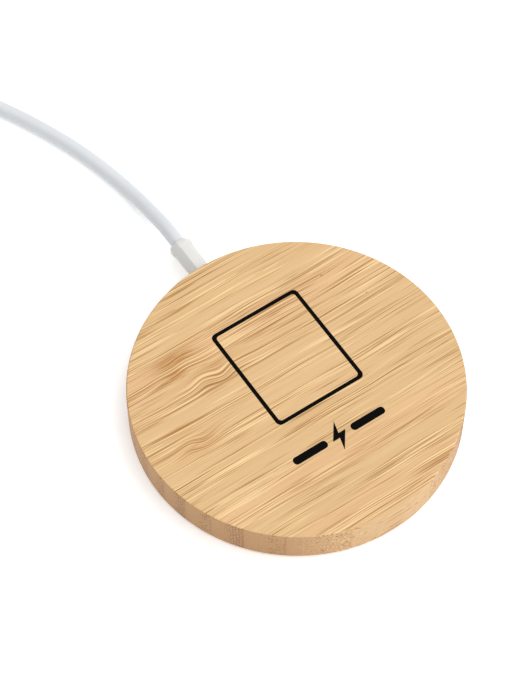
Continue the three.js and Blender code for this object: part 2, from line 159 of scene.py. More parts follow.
def pick(piece: bpy.types.Object, kind: Pick, test: Callable[[object], bool]) -> None:
    """Goes into edit mode with the faces or edges that pass a test selected.

    Args:
        piece: The piece to select on.
        kind: Faces or edges.
        test: Says whether a face, or an edge by its two ends, is wanted.
    """
    only(piece)
    bpy.ops.object.mode_set(mode="EDIT")
    bpy.ops.mesh.select_mode(type=kind.value)
    bpy.ops.mesh.select_all(action="DESELECT")
    done()
    mesh = piece.data
    if kind is Pick.FACES:
        for face in mesh.polygons:
            face.select = bool(test(face))
    else:
        for edge in mesh.edges:
            edge.select = bool(test([mesh.vertices[k].co for k in edge.vertices]))
    bpy.ops.object.mode_set(mode="EDIT")


def open_up(piece: bpy.types.Object, test: Callable[[object], bool]) -> None:
    """Takes away the faces that pass a test.

    Args:
        piece: The piece.
        test: Says whether a face goes.
    """
    pick(piece, Pick.FACES, test)
    bpy.ops.mesh.delete(type="FACE")
    done()


def ease_edges(piece: bpy.types.Object, width: float, segments: int,
               test: Callable[[object], bool]) -> None:
    """Rounds or chamfers chosen edges.

    Args:
        piece: The piece.
        width: Width of the round.
        segments: Steps across it, 1 for a chamfer.
        test: Says by its two ends whether an edge is rounded.
    """
    pick(piece, Pick.EDGES, test)
    bpy.ops.mesh.bevel(offset=width, segments=segments, affect="EDGES", clamp_overlap=True)
    done()


def clean(piece: bpy.types.Object, distance: float = 1e-6) -> None:
    """Merges doubled corners and turns all faces outwards.

    Args:
        piece: The piece.
        distance: Corners nearer than this are one.
    """
    only(piece)
    edit_all()
    bpy.ops.mesh.remove_doubles(threshold=distance)
    bpy.ops.mesh.normals_make_consistent(inside=False)
    done()


def smooth(piece: bpy.types.Object, degrees: float = 32) -> None:
    """Shades a piece smooth, with sharp edges above an angle."""
    only(piece)
    bpy.ops.object.shade_smooth_by_angle(angle=math.radians(degrees))


def apply_modifier(piece: bpy.types.Object, kind: str, **settings: object) -> None:
    """Puts a modifier on a piece and applies it.

    Args:
        piece: The piece.
        kind: The modifier's type.
        settings: The modifier's properties.
    """
    only(piece)
    modifier = piece.modifiers.new(kind.lower(), kind)
    for name, value in settings.items():
        setattr(modifier, name, value)
    bpy.ops.object.modifier_apply(modifier=modifier.name)


def bevel(piece: bpy.types.Object, width: float, segments: int = 3, degrees: float = 30) -> None:
    """Rounds a piece's sharp edges.

    Args:
        piece: The piece.
        width: Width of the round.
        segments: Steps across it.
        degrees: Edges sharper than this are rounded.
    """
    apply_modifier(piece, "BEVEL", width=width, segments=segments, limit_method="ANGLE",
                   angle_limit=math.radians(degrees))


def thicken(piece: bpy.types.Object, wall: float) -> None:
    """Gives an open shell a wall on its inner side."""
    apply_modifier(piece, "SOLIDIFY", thickness=wall, offset=-1)


def combine_bodies(piece: bpy.types.Object, other: bpy.types.Object, operation: str) -> None:
    """Cuts another body out of a piece or fuses it in, and removes it.

    Args:
        piece: The piece.
        other: The other body.
        operation: DIFFERENCE or UNION.
    """
    apply_modifier(piece, "BOOLEAN", operation=operation, solver="EXACT", object=other)
    bpy.data.objects.remove(other, do_unlink=True)


def cut_away(piece: bpy.types.Object, tool: bpy.types.Object) -> None:
    """Cuts a tool's shape out of a piece, and removes the tool."""
    combine_bodies(piece, tool, "DIFFERENCE")


def add_on(piece: bpy.types.Object, other: bpy.types.Object) -> None:
    """Fuses another body into a piece."""
    combine_bodies(piece, other, "UNION")


def dress(piece: bpy.types.Object, material: bpy.types.Material) -> None:
    """Gives a piece one material and nothing else."""
    piece.data.materials.clear()
    piece.data.materials.append(material)


def extrude_along(move: Point) -> None:
    """Extrudes what is selected by a vector."""
    bpy.ops.mesh.extrude_region_move(TRANSFORM_OT_translate={"value": move})


def scale_about(centre: Point, factor: Point) -> None:
    """Scales what is selected about a point."""
    bpy.ops.transform.resize(value=factor, center_override=centre)


@dataclass(frozen=True)
class Corner:
    """A corner of a turned profile: radius, height and the round it is eased with."""

    r: float
    z: float
    ease: float = 0.0


def eased(corners: Sequence[Corner], steps: int = 4) -> list[tuple[float, float]]:
    """Rounds a profile's corners, with a holding ring beside each round to keep the flats flat.

    Args:
        corners: The profile's corners in order.
        steps: Steps across each round.

    Returns:
        The profile's points as radius and height.
    """
    points: list[tuple[float, float]] = []
    for k, corner in enumerate(corners):
        here = Vector((corner.r, corner.z))
        if corner.ease <= 0 or k in (0, len(corners) - 1):
            points.append((corner.r, corner.z))
            continue
        before = Vector((corners[k - 1].r, corners[k - 1].z)) - here
        after = Vector((corners[k + 1].r, corners[k + 1].z)) - here
        reach = min(corner.ease, before.length * 0.4, after.length * 0.4)
        first, last = here + before.normalized() * reach, here + after.normalized() * reach
        points.append(tuple(first + before.normalized() * reach * 0.2))
        for step in range(steps + 1):
            t = step / steps
            points.append(tuple(first * (1 - t) ** 2 + here * 2 * t * (1 - t) + last * t**2))
        points.append(tuple(last + after.normalized() * reach * 0.2))
    return points


def turned(name: str, corners: Sequence[Corner], segments: int, x: float = 0, y: float = 0,
           steps: int = 4) -> bpy.types.Object:
    """Turns a closed body about an upright axis, ring by ring.

    Args:
        name: The piece's name.
        corners: The profile, from the first flat face to the last.
        segments: Steps round the axis.
        x: The axis's place along X.
        y: The axis's place along Y.
        steps: Steps across each round.

    Returns:
        The piece.
    """
    points = eased(corners, steps)
    radius, height = points[0]
    deselect()
    bpy.ops.mesh.primitive_circle_add(vertices=segments, radius=radius, fill_type="NGON",
                                      location=(x, y, height))
    piece = new_piece(name)
    edit_all()
    for next_radius, next_height in points[1:]:
        extrude_along((0, 0, next_height - height))
        share = next_radius / radius
        scale_about((x, y, next_height), (share, share, 1))
        radius, height = max(next_radius, 1e-9), next_height
    done()
    clean(piece)
    return piece


@dataclass(frozen=True)
class Section:
    """A rectangular cross-section along Y."""

    y: float
    width: float
    height: float


def drawn_out(name: str, sections: Sequence[Section], x: float, z: float, corner: float,
              segments: int = 5) -> bpy.types.Object:
    """Draws a body out along Y through rectangles, and rounds its four long corners.

    Args:
        name: The piece's name.
        sections: The cross-sections, Y rising.
        x: The axis's place along X.
        z: The axis's height.
        corner: Radius of the long corners.
        segments: Steps across them.

    Returns:
        The piece.
    """
    first = sections[0]
    deselect()
    bpy.ops.mesh.primitive_plane_add(size=1, location=(x, first.y, z), rotation=(math.pi / 2, 0, 0))
    piece = new_piece(name)
    edit_all()
    scale_about((x, first.y, z), (first.width, 1, first.height))
    last = first
    for section in sections[1:]:
        extrude_along((0, section.y - last.y, 0))
        share_wide, share_high = section.width / last.width, section.height / last.height
        scale_about((x, section.y, z), (share_wide, 1, share_high))
        last = section
    done()
    clean(piece)

    def long_corner(ends: Sequence[Vector]) -> bool:
        """Tells whether an edge runs along a corner from one section to the next."""
        one, two = ends
        return (one.x - x) * (two.x - x) > 0 and (one.z - z) * (two.z - z) > 0

    if corner > 0:
        ease_edges(piece, corner, segments, long_corner)
        clean(piece)
    return piece


def block(name: str, low: Sequence[float], high: Sequence[float],
          corner: float = 0) -> bpy.types.Object:
    """Makes a body between two corners, its edges along Y rounded.

    Args:
        name: The piece's name.
        low: Lowest corner.
        high: Highest corner.
        corner: Radius of the edges along Y.

    Returns:
        The piece.
    """
    width, height = high[0] - low[0], high[2] - low[2]
    sections = (Section(low[1], width, height), Section(high[1], width, height))
    return drawn_out(name, sections, (low[0] + high[0]) / 2, (low[2] + high[2]) / 2, corner)


def peg(name: str, radius: float, low: float, high: float, x: float, y: float,
        segments: int = 32) -> bpy.types.Object:
    """Makes an upright round bar, mostly to cut or to add with."""
    return turned(name, (Corner(radius, low), Corner(radius, high)), segments, x, y)


def gather(pieces: Sequence[bpy.types.Object], name: str) -> bpy.types.Object:
    """Joins separate bodies into one piece.

    Args:
        pieces: The bodies.
        name: The joined piece's name.

    Returns:
        The piece.
    """
    deselect()
    for piece in pieces:
        piece.select_set(True)
    bpy.context.view_layer.objects.active = pieces[0]
    bpy.ops.object.join()
    joined = bpy.context.object
    joined.name = name
    joined.data.name = name
    return joined


def twin(piece: bpy.types.Object, name: str, move: Point, turn: float = 0) -> bpy.types.Object:
    """Copies a piece with a mesh of its own, turned about the Z axis and then moved.

    Args:
        piece: The piece to copy.
        name: The copy's name.
        move: How far the copy is moved.
        turn: Turn in degrees before the move.

    Returns:
        The copy.
    """
    copy = bpy.data.objects.new(name, piece.data.copy())
    copy.data.name = name
    bpy.context.scene.collection.objects.link(copy)
    copy.data.transform(Matrix.Translation(move) @ Matrix.Rotation(math.radians(turn), 4, "Z"))
    return copy


def lay_along_y(piece: bpy.types.Object, x: float, y: float, z: float) -> bpy.types.Object:
    """Tips an upright piece over along Y and moves its foot to a place.

    Args:
        piece: The piece, standing at the origin.
        x: The foot's place along X.
        y: The foot's place along Y.
        z: The foot's height.

    Returns:
        The piece.
    """
    tipped = Matrix.Rotation(-math.pi / 2, 4, "X")
    piece.data.transform(Matrix.Translation((x, y, z)) @ tipped)
    return piece


def smooth_line(name: str, points: Sequence[Sequence[float]], radius: float, sides: int,
                steps: int) -> bpy.types.Object:
    """Lays a round cord smoothly through points.

    Args:
        name: The cord's name.
        points: The places it passes, in millimetres.
        radius: Its radius.
        sides: How finely its round is divided.
        steps: Steps from one point to the next.

    Returns:
        The cord, as a curve.
    """
    curve = bpy.data.curves.new(name, "CURVE")
    curve.dimensions = "3D"
    curve.bevel_depth = radius
    curve.bevel_resolution = sides
    curve.resolution_u = steps
    curve.use_fill_caps = True
    spline = curve.splines.new("BEZIER")
    spline.bezier_points.add(len(points) - 1)
    for knot, place in zip(spline.bezier_points, points):
        knot.co = Vector(place) * MM
        knot.handle_left_type = "AUTO"
        knot.handle_right_type = "AUTO"
    line = bpy.data.objects.new(name, curve)
    bpy.context.scene.collection.objects.link(line)
    return line


def on_circle(radius: float, degrees: float) -> tuple[float, float]:
    """The X and Y of a place on a circle about the origin."""
    angle = math.radians(degrees)
    return radius * math.cos(angle), radius * math.sin(angle)


def four_places(radius: float, first: float) -> list[tuple[float, float]]:
    """Four places round the pad's axis, from the angle of the first in degrees."""
    return [on_circle(radius, first + 90 * k) for k in range(4)]


def outwards(azimuth: float, elevation: float) -> Vector:
    """The unit vector that points away from the pad at two angles, in degrees."""
    x, y = on_circle(math.cos(math.radians(elevation)), azimuth)
    return Vector((x, y, math.sin(math.radians(elevation))))


def middle(node: str) -> Vector:
    """Returns the middle of a CAD node's box."""
    low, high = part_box(node)
    return (low + high) / 2


# ------------------------------------------------------------------ shader sketching


class Sketch:
    """A material's node tree while it is being drawn up."""

    def __init__(self, name: str) -> None:
        """Starts a material that holds one Principled shader.

        Args:
            name: The material's name.
        """
        self.material = bpy.data.materials.new(name)
        self.material.use_nodes = True
        self.tree = self.material.node_tree
        self.tree.nodes.clear()
        self.output = self.tree.nodes.new("ShaderNodeOutputMaterial")
        self.shader = self.tree.nodes.new("ShaderNodeBsdfPrincipled")
        self.link(self.shader.outputs["BSDF"], self.output.inputs["Surface"])

    def link(self, source: bpy.types.NodeSocket, target: bpy.types.NodeSocket) -> None:
        """Joins an output to an input."""
        self.tree.links.new(source, target)

    def feed(self, target: bpy.types.NodeSocket, value: object) -> None:
        """Links a socket, or sets a plain value, on an input.

        Args:
            target: The input.
            value: A socket, a number, a vector or a colour.
        """
        if isinstance(value, bpy.types.NodeSocket):
            self.link(value, target)
        elif isinstance(value, tuple) and target.type == "RGBA":
            target.default_value = (*value[:3], 1.0)
        else:
            target.default_value = value

    def paint(self, colour: object, rough: object) -> None:
        """Gives the shader its colour and its roughness."""
        self.feed(self.shader.inputs["Base Color"], colour)
        self.feed(self.shader.inputs["Roughness"], rough)

    def set(self, **values: object) -> None:
        """Sets plain values on the shader, by the names of its sockets with _ for a space."""
        for name, value in values.items():
            self.shader.inputs[name.replace("_", " ")].default_value = value

    def place(self, scale: Point = (1, 1, 1), move: Point = (0, 0, 0)) -> bpy.types.NodeSocket:
        """The object's own coordinates in millimetres, moved and then scaled.

        Args:
            scale: Factor along each axis, per millimetre.
            move: Shift in millimetres before the scaling.

        Returns:
            The coordinates.
        """
        source = self.tree.nodes.new("ShaderNodeTexCoord")
        mapping = self.tree.nodes.new("ShaderNodeMapping")
        mapping.inputs["Scale"].default_value = tuple(s / MM for s in scale)
        mapping.inputs["Location"].default_value = tuple(s * m for s, m in zip(scale, move))
        self.link(source.outputs["Object"], mapping.inputs["Vector"])
        return mapping.outputs["Vector"]

    def math(self, operation: str, first: object, second: object = 0.0,
             clamp: bool = False) -> bpy.types.NodeSocket:
        """One step of arithmetic.

        Args:
            operation: The Math node's operation.
            first: Its first input, a socket or a number.
            second: Its second input.
            clamp: Keep the result between 0 and 1.

        Returns:
            The result.
        """
        node = self.tree.nodes.new("ShaderNodeMath")
        node.operation = operation
        node.use_clamp = clamp
        for socket, value in zip(node.inputs, (first, second)):
            self.feed(socket, value)
        return node.outputs[0]

    def plus(self, first: object, second: object) -> bpy.types.NodeSocket:
        """The sum of two numbers."""
        return self.math("ADD", first, second)

    def minus(self, first: object, second: object) -> bpy.types.NodeSocket:
        """The first number less the second."""
        return self.math("SUBTRACT", first, second)

    def times(self, first: object, second: object) -> bpy.types.NodeSocket:
        """The product of two numbers."""
        return self.math("MULTIPLY", first, second)

    def over(self, first: object, second: object) -> bpy.types.NodeSocket:
        """The first number divided by the second."""
        return self.math("DIVIDE", first, second)

    def larger(self, first: object, second: object) -> bpy.types.NodeSocket:
        """The larger of two numbers."""
        return self.math("MAXIMUM", first, second)

    def apart(self, first: object, second: object) -> bpy.types.NodeSocket:
        """How far apart two numbers are."""
        return self.math("ABSOLUTE", self.minus(first, second))

    def split(self, source: bpy.types.NodeSocket) -> list[bpy.types.NodeSocket]:
        """The X, Y and Z of a vector.

        Args:
            source: The vector.

        Returns:
            The three numbers.
        """
        node = self.tree.nodes.new("ShaderNodeSeparateXYZ")
        self.link(source, node.inputs[0])
        return list(node.outputs)

    def combine(self, x: object, y: object, z: object) -> bpy.types.NodeSocket:
        """A vector from three numbers.

        Args:
            x: The first number.
            y: The second number.
            z: The third number.

        Returns:
            The vector.
        """
        node = self.tree.nodes.new("ShaderNodeCombineXYZ")
        for socket, value in zip(node.inputs, (x, y, z)):
            self.feed(socket, value)
        return node.outputs[0]

    def noise(self, where: bpy.types.NodeSocket, detail: float,
              roughness: float) -> bpy.types.NodeSocket:
        """Smooth noise from 0 to 1.

        Args:
            where: The coordinates, one cycle to a unit.
            detail: How many finer layers it has.
            roughness: How strong the finer layers are.

        Returns:
            The noise.
        """
        node = self.tree.nodes.new("ShaderNodeTexNoise")
        self.link(where, node.inputs["Vector"])
        node.inputs["Scale"].default_value = 1
        node.inputs["Detail"].default_value = detail
        node.inputs["Roughness"].default_value = roughness
        return node.outputs["Fac"]

    def cells(self, where: bpy.types.NodeSocket,
              randomness: float = 1) -> dict[str, bpy.types.NodeSocket]:
        """Cells round scattered points.

        Args:
            where: The coordinates, one cell to a unit.
            randomness: How far the points stray from a grid.

        Returns:
            The Distance to the nearest point, its Color and its Position.
        """
        node = self.tree.nodes.new("ShaderNodeTexVoronoi")
        node.inputs["Scale"].default_value = 1
        node.inputs["Randomness"].default_value = randomness
        self.link(where, node.inputs["Vector"])
        return {socket.name: socket for socket in node.outputs if socket.enabled}

    def hashed(self, value: bpy.types.NodeSocket) -> bpy.types.NodeSocket:
        """A random number from 0 to 1 for each whole number.

        Args:
            value: The whole number.

        Returns:
            The random number.
        """
        node = self.tree.nodes.new("ShaderNodeTexWhiteNoise")
        node.noise_dimensions = "1D"
        self.link(value, node.inputs["W"])
        return node.outputs["Value"]

    def ramp(self, value: bpy.types.NodeSocket, low: float, high: float, start: object = 0.0,
             end: object = 1.0, smooth_step: bool = False) -> bpy.types.NodeSocket:
        """Maps a range onto another, held at both ends.

        Args:
            value: The number to map.
            low: Where the result is start.
            high: Where the result is end.
            start: Result at low.
            end: Result at high.
            smooth_step: Ease in and out.

        Returns:
            The mapped number.
        """
        node = self.tree.nodes.new("ShaderNodeMapRange")
        node.interpolation_type = "SMOOTHSTEP" if smooth_step else "LINEAR"
        node.clamp = True
        for socket, number in zip(node.inputs, (value, low, high, start, end)):
            self.feed(socket, number)
        return node.outputs[0]

    def mix(self, share: object, first: object, second: object) -> bpy.types.NodeSocket:
        """Two colours mixed.

        Args:
            share: How much of the second colour there is.
            first: The first colour.
            second: The second colour.

        Returns:
            The mixture.
        """
        node = self.tree.nodes.new("ShaderNodeMix")
        node.data_type = "RGBA"
        for number, value in ((0, share), (6, first), (7, second)):
            self.feed(node.inputs[number], value)
        return node.outputs[2]

    def bump(self, height: bpy.types.NodeSocket, depth: float, strength: float) -> None:
        """Lets a height disturb the shader's normal.

        Args:
            height: The height, 0 to 1.
            depth: What a height of 1 stands for, in millimetres.
            strength: How much of the disturbance is taken.
        """
        node = self.tree.nodes.new("ShaderNodeBump")
        node.inputs["Strength"].default_value = strength
        node.inputs["Distance"].default_value = depth * MM
        self.link(height, node.inputs["Height"])
        self.link(node.outputs["Normal"], self.shader.inputs["Normal"])

    def edges(self, reach: float) -> bpy.types.NodeSocket:
        """How near a sharp edge is, from 0 on open faces to 1 on the edge.

        Args:
            reach: How far from the edge it is felt, in millimetres.

        Returns:
            The nearness.
        """
        rounded = self.tree.nodes.new("ShaderNodeBevel")
        rounded.samples = 4
        rounded.inputs["Radius"].default_value = reach * MM
        plain = self.tree.nodes.new("ShaderNodeNewGeometry")
        node = self.tree.nodes.new("ShaderNodeVectorMath")
        node.operation = "DOT_PRODUCT"
        self.link(rounded.outputs["Normal"], node.inputs[0])
        self.link(plain.outputs["Normal"], node.inputs[1])
        return self.ramp(node.outputs["Value"], 1.0, 0.8)


def toned(colour: Colour, factor: float, lift: float = 0.0) -> Colour:
    """A lighter or darker version of a colour."""
    return tuple(min(1.0, channel * factor + lift) for channel in colour)


# ------------------------------------------------------------------ finishes


@dataclass(frozen=True)
class Knuckle:
    """A joint of the bamboo stem that crosses one strip: its place and reach in millimetres."""

    x: float
    y: float
    long: float
    wide: float
    swirl: float
    shade: float


@dataclass(frozen=True)
class Stroke:
    """A single line along the grain: from where to where, its width, and how strong it is."""

    y: float
    start: float
    stop: float
    width: float
    strength: float


@dataclass(frozen=True)
class Level:
    """How a streak shows in a noise: where it starts, where it is full, and how strong it gets."""

    start: float
    full: float
    most: float


@dataclass(frozen=True)
class BambooFinish:
    """Laminated bamboo: strips on edge, fibres along X, dots of fibre bundles on the end grain."""

    name: str = "bamboo"
    strip: float = 7.72
    first_seam: float = -43.2
    base: Colour = srgb(213, 178, 129)
    warm: Colour = srgb(218, 177, 131)
    deep: Colour = srgb(203, 163, 111)
    light: Colour = srgb(236, 203, 150)
    streak: Colour = srgb(164, 116, 64)
    flame: Colour = srgb(178, 122, 62)
    # the end grain's own darker colour, deepened further as painted shade for the side walls
    cut_ends_and_shade: Colour = srgb(181, 136, 91)
    dot: Colour = srgb(136, 93, 58)
    roughness: float = 0.55
    broad_fibre: tuple[float, float] = (0.012, 0.45)
    drift_fibre: tuple[float, float] = (0.030, 0.75)
    fine_fibre: tuple[float, float] = (0.018, 2.6)
    hair_fibre: tuple[float, float] = (0.060, 4.6)
    bundle_pitch: tuple[float, float] = (0.012, 1.5)
    pale_thread: Level = Level(0.10, 0.16, 0.8)
    pale_hair: Level = Level(0.37, 0.32, 0.85)
    dark_thread: Level = Level(0.09, 0.05, 0.95)
    dark_hair: Level = Level(0.62, 0.67, 0.75)
    wander_reach: float = 1.6
    cut_ends_and_shade_share: float = 0.8
    # share of painted highlight: lighter grain colour laid along sharp edges
    edge_highlight_share: float = 0.3
    knuckles: tuple[Knuckle, ...] = (
        Knuckle(-22.6, 24.4, 10, 2.8, 1.0, 1.0),
        Knuckle(-25, 20.2, 9, 2.2, 1.0, 0.9),
        Knuckle(-15.5, 14.8, 9.5, 5.0, 2.2, 0.1),
        Knuckle(-31, -0.5, 9, 3.4, 1.5, 0.45),
    )
    scars: tuple[Stroke, ...] = (
        Stroke(24.9, -28.5, -17.5, 0.45, 0.8),
        Stroke(23.9, -27, -14.5, 0.4, 0.6),
        Stroke(22.9, -24.5, -15.5, 0.25, 0.6),
        Stroke(20.4, -31, -18.5, 0.3, 0.9),
        Stroke(-0.5, -37, -26, 0.3, 0.6),
        Stroke(-1.7, -35, -25, 0.3, 0.6),
    )
    dark_strokes: tuple[Stroke, ...] = (
        Stroke(11.0, -43, 44, 0.16, 0.6),
        Stroke(-0.6, 14, 44, 0.14, 0.55),
        Stroke(-33.2, 4, 24, 0.16, 0.6),
        Stroke(-32.1, 6, 25, 0.12, 0.5),
        Stroke(-42.6, -2, 13, 0.16, 0.6),
        Stroke(26.4, -36, 2, 0.14, 0.45),
    )
    light_strokes: tuple[Stroke, ...] = (
        Stroke(34.3, -30, 25, 0.22, 0.8),
        Stroke(33.3, -22, 12, 0.12, 0.6),
        Stroke(-18.6, -41, -12, 0.22, 0.8),
        Stroke(-19.5, -38, 4, 0.12, 0.6),
        Stroke(3.3, 10, 40, 0.14, 0.5),
    )

    def make(self) -> bpy.types.Material:
        """Draws up the bamboo.

        Returns:
            The material.
        """
        sketch = Sketch(self.name)
        x, y, z = sketch.split(sketch.place())
        swirl, flame, near = self._knuckles(sketch, x, y)
        wander = sketch.noise(sketch.place((0.03, 0.05, 0.05), (90, 0, 0)), 1, 0.5)
        bent = sketch.plus(sketch.plus(y, swirl), sketch.times(wander, self.wander_reach))

        strip_at = sketch.over(sketch.minus(y, self.first_seam), self.strip)
        number = sketch.math("FLOOR", strip_at)
        across = sketch.math("FRACT", strip_at)
        tone = sketch.hashed(sketch.plus(number, 17.0))
        along = sketch.plus(x, sketch.times(sketch.hashed(sketch.plus(number, 3.0)), 400.0))
        place = (along, bent, z)
        end = self._end_share(sketch)

        crowd = sketch.larger(self._crowd(sketch, place, across, tone), sketch.times(near, 0.85))
        thread = sketch.apart(self._fibre(sketch, place, self.fine_fibre, 0), 0.5)
        hair = self._fibre(sketch, place, self.hair_fibre, 0)
        pale = sketch.times(crowd, sketch.ramp(hair, 0.56, 0.40, 0.25, 1.0))
        dark = sketch.times(crowd, sketch.ramp(hair, 0.42, 0.58, 0.25, 1.0))
        broad = self._fibre(sketch, place, self.broad_fibre, 2)
        scars = sketch.times(self._strokes(sketch, x, y, self.scars),
                             sketch.ramp(hair, 0.35, 0.6, 0.45, 1.0))
        bundles = self._bundles(sketch, place, across)

        colour = sketch.mix(sketch.ramp(tone, 0.15, 0.85), self.base, self.warm)
        for share, over in (
            (sketch.ramp(broad, 0.60, 0.40, 0.0, 0.3), self.deep),
            (flame, self.flame),
            (self._share(sketch, thread, self.pale_thread, pale), self.light),
            (self._share(sketch, hair, self.pale_hair, crowd), self.light),
            (self._share(sketch, thread, self.dark_thread, dark), self.streak),
            (self._share(sketch, hair, self.dark_hair, crowd), self.streak),
            (scars, self.flame),
            (self._strokes(sketch, x, y, self.light_strokes), self.light),
            (self._strokes(sketch, x, y, self.dark_strokes), self.streak),
            (self._specks(sketch), self.dot),
            # end grain: partly its own darker colour, partly painted shade on the side walls
            (sketch.times(end, self.cut_ends_and_shade_share), self.cut_ends_and_shade),
            (sketch.times(bundles, sketch.ramp(end, 0.0, 1.0, 0.08, 0.85)), self.dot),
            (self._seams(sketch, across, number, end), self.streak),
            # painted highlight: the lighter grain colour along sharp edges
            (sketch.times(sketch.edges(0.5), self.edge_highlight_share), self.light),
        ):
            colour = sketch.mix(share, colour, over)
        rough = sketch.ramp(hair, 0.3, 0.75, self.roughness - 0.06, self.roughness + 0.1)
        sketch.paint(colour, rough)
        sketch.set(Specular_IOR_Level=0.3)
        height = sketch.minus(sketch.ramp(thread, 0.0, 0.1, 0.3, 1.0), sketch.times(hair, 0.4))
        sketch.bump(sketch.minus(height, sketch.times(bundles, 0.4)), 0.05, 0.4)
        return sketch.material

    def _fibre(self, sketch: Sketch, place: Sequence[object], cycles: tuple[float, float],
               detail: float) -> bpy.types.NodeSocket:
        """Noise drawn out along the fibres.

        Args:
            sketch: The material being drawn.
            place: Millimetres along, across and up.
            cycles: Cycles to a millimetre, along and across the fibres.
            detail: How many finer layers it has.

        Returns:
            The noise.
        """
        return sketch.noise(self._drawn_out(sketch, place, cycles), detail, 0.55)

    def _drawn_out(self, sketch: Sketch, place: Sequence[object],
                   cycles: tuple[float, float]) -> bpy.types.NodeSocket:
        """Coordinates that run slowly along the fibres and fast across them.

        Args:
            sketch: The material being drawn.
            place: Millimetres along, across and up.
            cycles: Cycles to a millimetre, along and across the fibres.

        Returns:
            The coordinates.
        """
        scales = (cycles[0], cycles[1], cycles[1])
        return sketch.combine(*(sketch.times(one, scale) for one, scale in zip(place, scales)))

    def _share(self, sketch: Sketch, fibre: object, level: Level,
               crowd: object) -> bpy.types.NodeSocket:
        """How much of a streak's colour shows: the fibre noise past a level, where fibres crowd."""
        return sketch.times(sketch.ramp(fibre, level.start, level.full, 0.0, level.most), crowd)

    def _crowd(self, sketch: Sketch, place: Sequence[object], strip_share: object,
               tone: object) -> bpy.types.NodeSocket:
        """Where streaks are many: towards one side of each strip, and in drifts along it.

        Args:
            sketch: The material being drawn.
            place: Millimetres along, across and up.
            strip_share: Share of the way across the strip.
            tone: The strip's own random number.

        Returns:
            How crowded the streaks are, up to 1.
        """
        side = sketch.ramp(strip_share, 0.35, 0.6, 0.5, -0.1)
        drift = self._fibre(sketch, place, self.drift_fibre, 1)
        thick = sketch.plus(side, sketch.ramp(drift, 0.38, 0.62, -0.3, 0.8))
        thick = sketch.plus(thick, sketch.ramp(tone, 0.0, 1.0, -0.1, 0.15))
        return sketch.ramp(thick, 0.2, 0.65, 0.08, 1.0)

    def _end_share(self, sketch: Sketch) -> bpy.types.NodeSocket:
        """How far a face looks along the grain.

        Args:
            sketch: The material being drawn.

        Returns:
            0 on the top, 1 where the fibres are cut across.
        """
        shape = sketch.tree.nodes.new("ShaderNodeNewGeometry")
        facing = sketch.split(shape.outputs["True Normal"])[0]
        return sketch.ramp(sketch.math("ABSOLUTE", facing), 0.25, 0.68, smooth_step=True)

    def _knuckles(self, sketch: Sketch, x: bpy.types.NodeSocket,
                  y: bpy.types.NodeSocket) -> tuple[bpy.types.NodeSocket, ...]:
        """Where the stem's joints push the fibres aside, and where they darken the wood.

        Args:
            sketch: The material being drawn.
            x: Millimetres along the grain.
            y: Millimetres across it.

        Returns:
            The sideways push in millimetres, the share of flame colour, and how near a joint is.
        """
        push: object = 0.0
        flame: object = 0.0
        close: object = 0.0
        waves = sketch.noise(sketch.place((0.11, 0.06, 0.06), (46, 7, 0)), 0, 0.5)
        patch = sketch.noise(sketch.place((0.16, 1.1, 1.1), (11, 3, 0)), 3, 0.6)
        for knuckle in self.knuckles:
            dx = sketch.over(sketch.minus(x, knuckle.x), knuckle.long)
            dy = sketch.over(sketch.minus(y, knuckle.y), knuckle.wide)
            square = sketch.plus(sketch.times(dx, dx), sketch.times(dy, dy))
            near = sketch.math("EXPONENT", sketch.times(square, -1.6))
            turn = sketch.times(sketch.minus(waves, 0.5), knuckle.swirl * 2.6)
            push = sketch.plus(push, sketch.times(near, turn))
            core = sketch.math("POWER", near, 2.5)
            tint = sketch.times(core, sketch.ramp(patch, 0.40, 0.58, 0.1, knuckle.shade))
            tint = sketch.plus(tint, sketch.times(near, 0.26))
            flame = sketch.math("ADD", flame, tint, clamp=True)
            close = sketch.larger(close, near)
        return push, flame, close

    def _bundles(self, sketch: Sketch, place: Sequence[object],
                 strip_share: bpy.types.NodeSocket) -> bpy.types.NodeSocket:
        """Fibre bundles: dots on the end grain and dashes along it.

        Args:
            sketch: The material being drawn.
            place: Millimetres along, across and up.
            strip_share: Share of the way across the strip, which they crowd to one side of.

        Returns:
            1 on a bundle, 0 between them.
        """
        found = sketch.cells(self._drawn_out(sketch, place, self.bundle_pitch), 0.5)
        size = sketch.ramp(strip_share, 0.3, 0.75, 0.42, 0.08)
        return sketch.ramp(sketch.minus(size, found["Distance"]), -0.05, 0.12, 0.0, 1.0)

    def _strokes(self, sketch: Sketch, x: object, y: object,
                 strokes: Sequence[Stroke]) -> bpy.types.NodeSocket:
        """The share of colour that single lines along the grain leave.

        Args:
            sketch: The material being drawn.
            x: Millimetres along the grain.
            y: Millimetres across it.
            strokes: The lines.

        Returns:
            The share.
        """
        waver = sketch.noise(sketch.place((0.06, 0.4, 0.4), (5, 60, 0)), 2, 0.5)
        faint = sketch.noise(sketch.place((0.2, 0.8, 0.8)), 2, 0.5)
        bent = sketch.plus(y, sketch.times(sketch.minus(waver, 0.5), 0.5))
        total: object = 0.0
        for stroke in strokes:
            off = sketch.apart(bent, stroke.y)
            line = sketch.ramp(off, stroke.width * 1.6, stroke.width * 0.4, 0.0, stroke.strength)
            half = (stroke.stop - stroke.start) / 2
            from_middle = sketch.apart(x, stroke.start + half)
            line = sketch.times(line, sketch.ramp(from_middle, half, half - 6.0))
            total = sketch.larger(total, line)
        return sketch.times(total, sketch.ramp(faint, 0.3, 0.55, 0.3, 1.0))

    def _specks(self, sketch: Sketch) -> bpy.types.NodeSocket:
        """A few tiny dark specks."""
        found = sketch.cells(sketch.place((0.085, 0.085, 0.085), (3, 9, 0)))
        return sketch.ramp(found["Distance"], 0.028, 0.018, 0.0, 0.7)

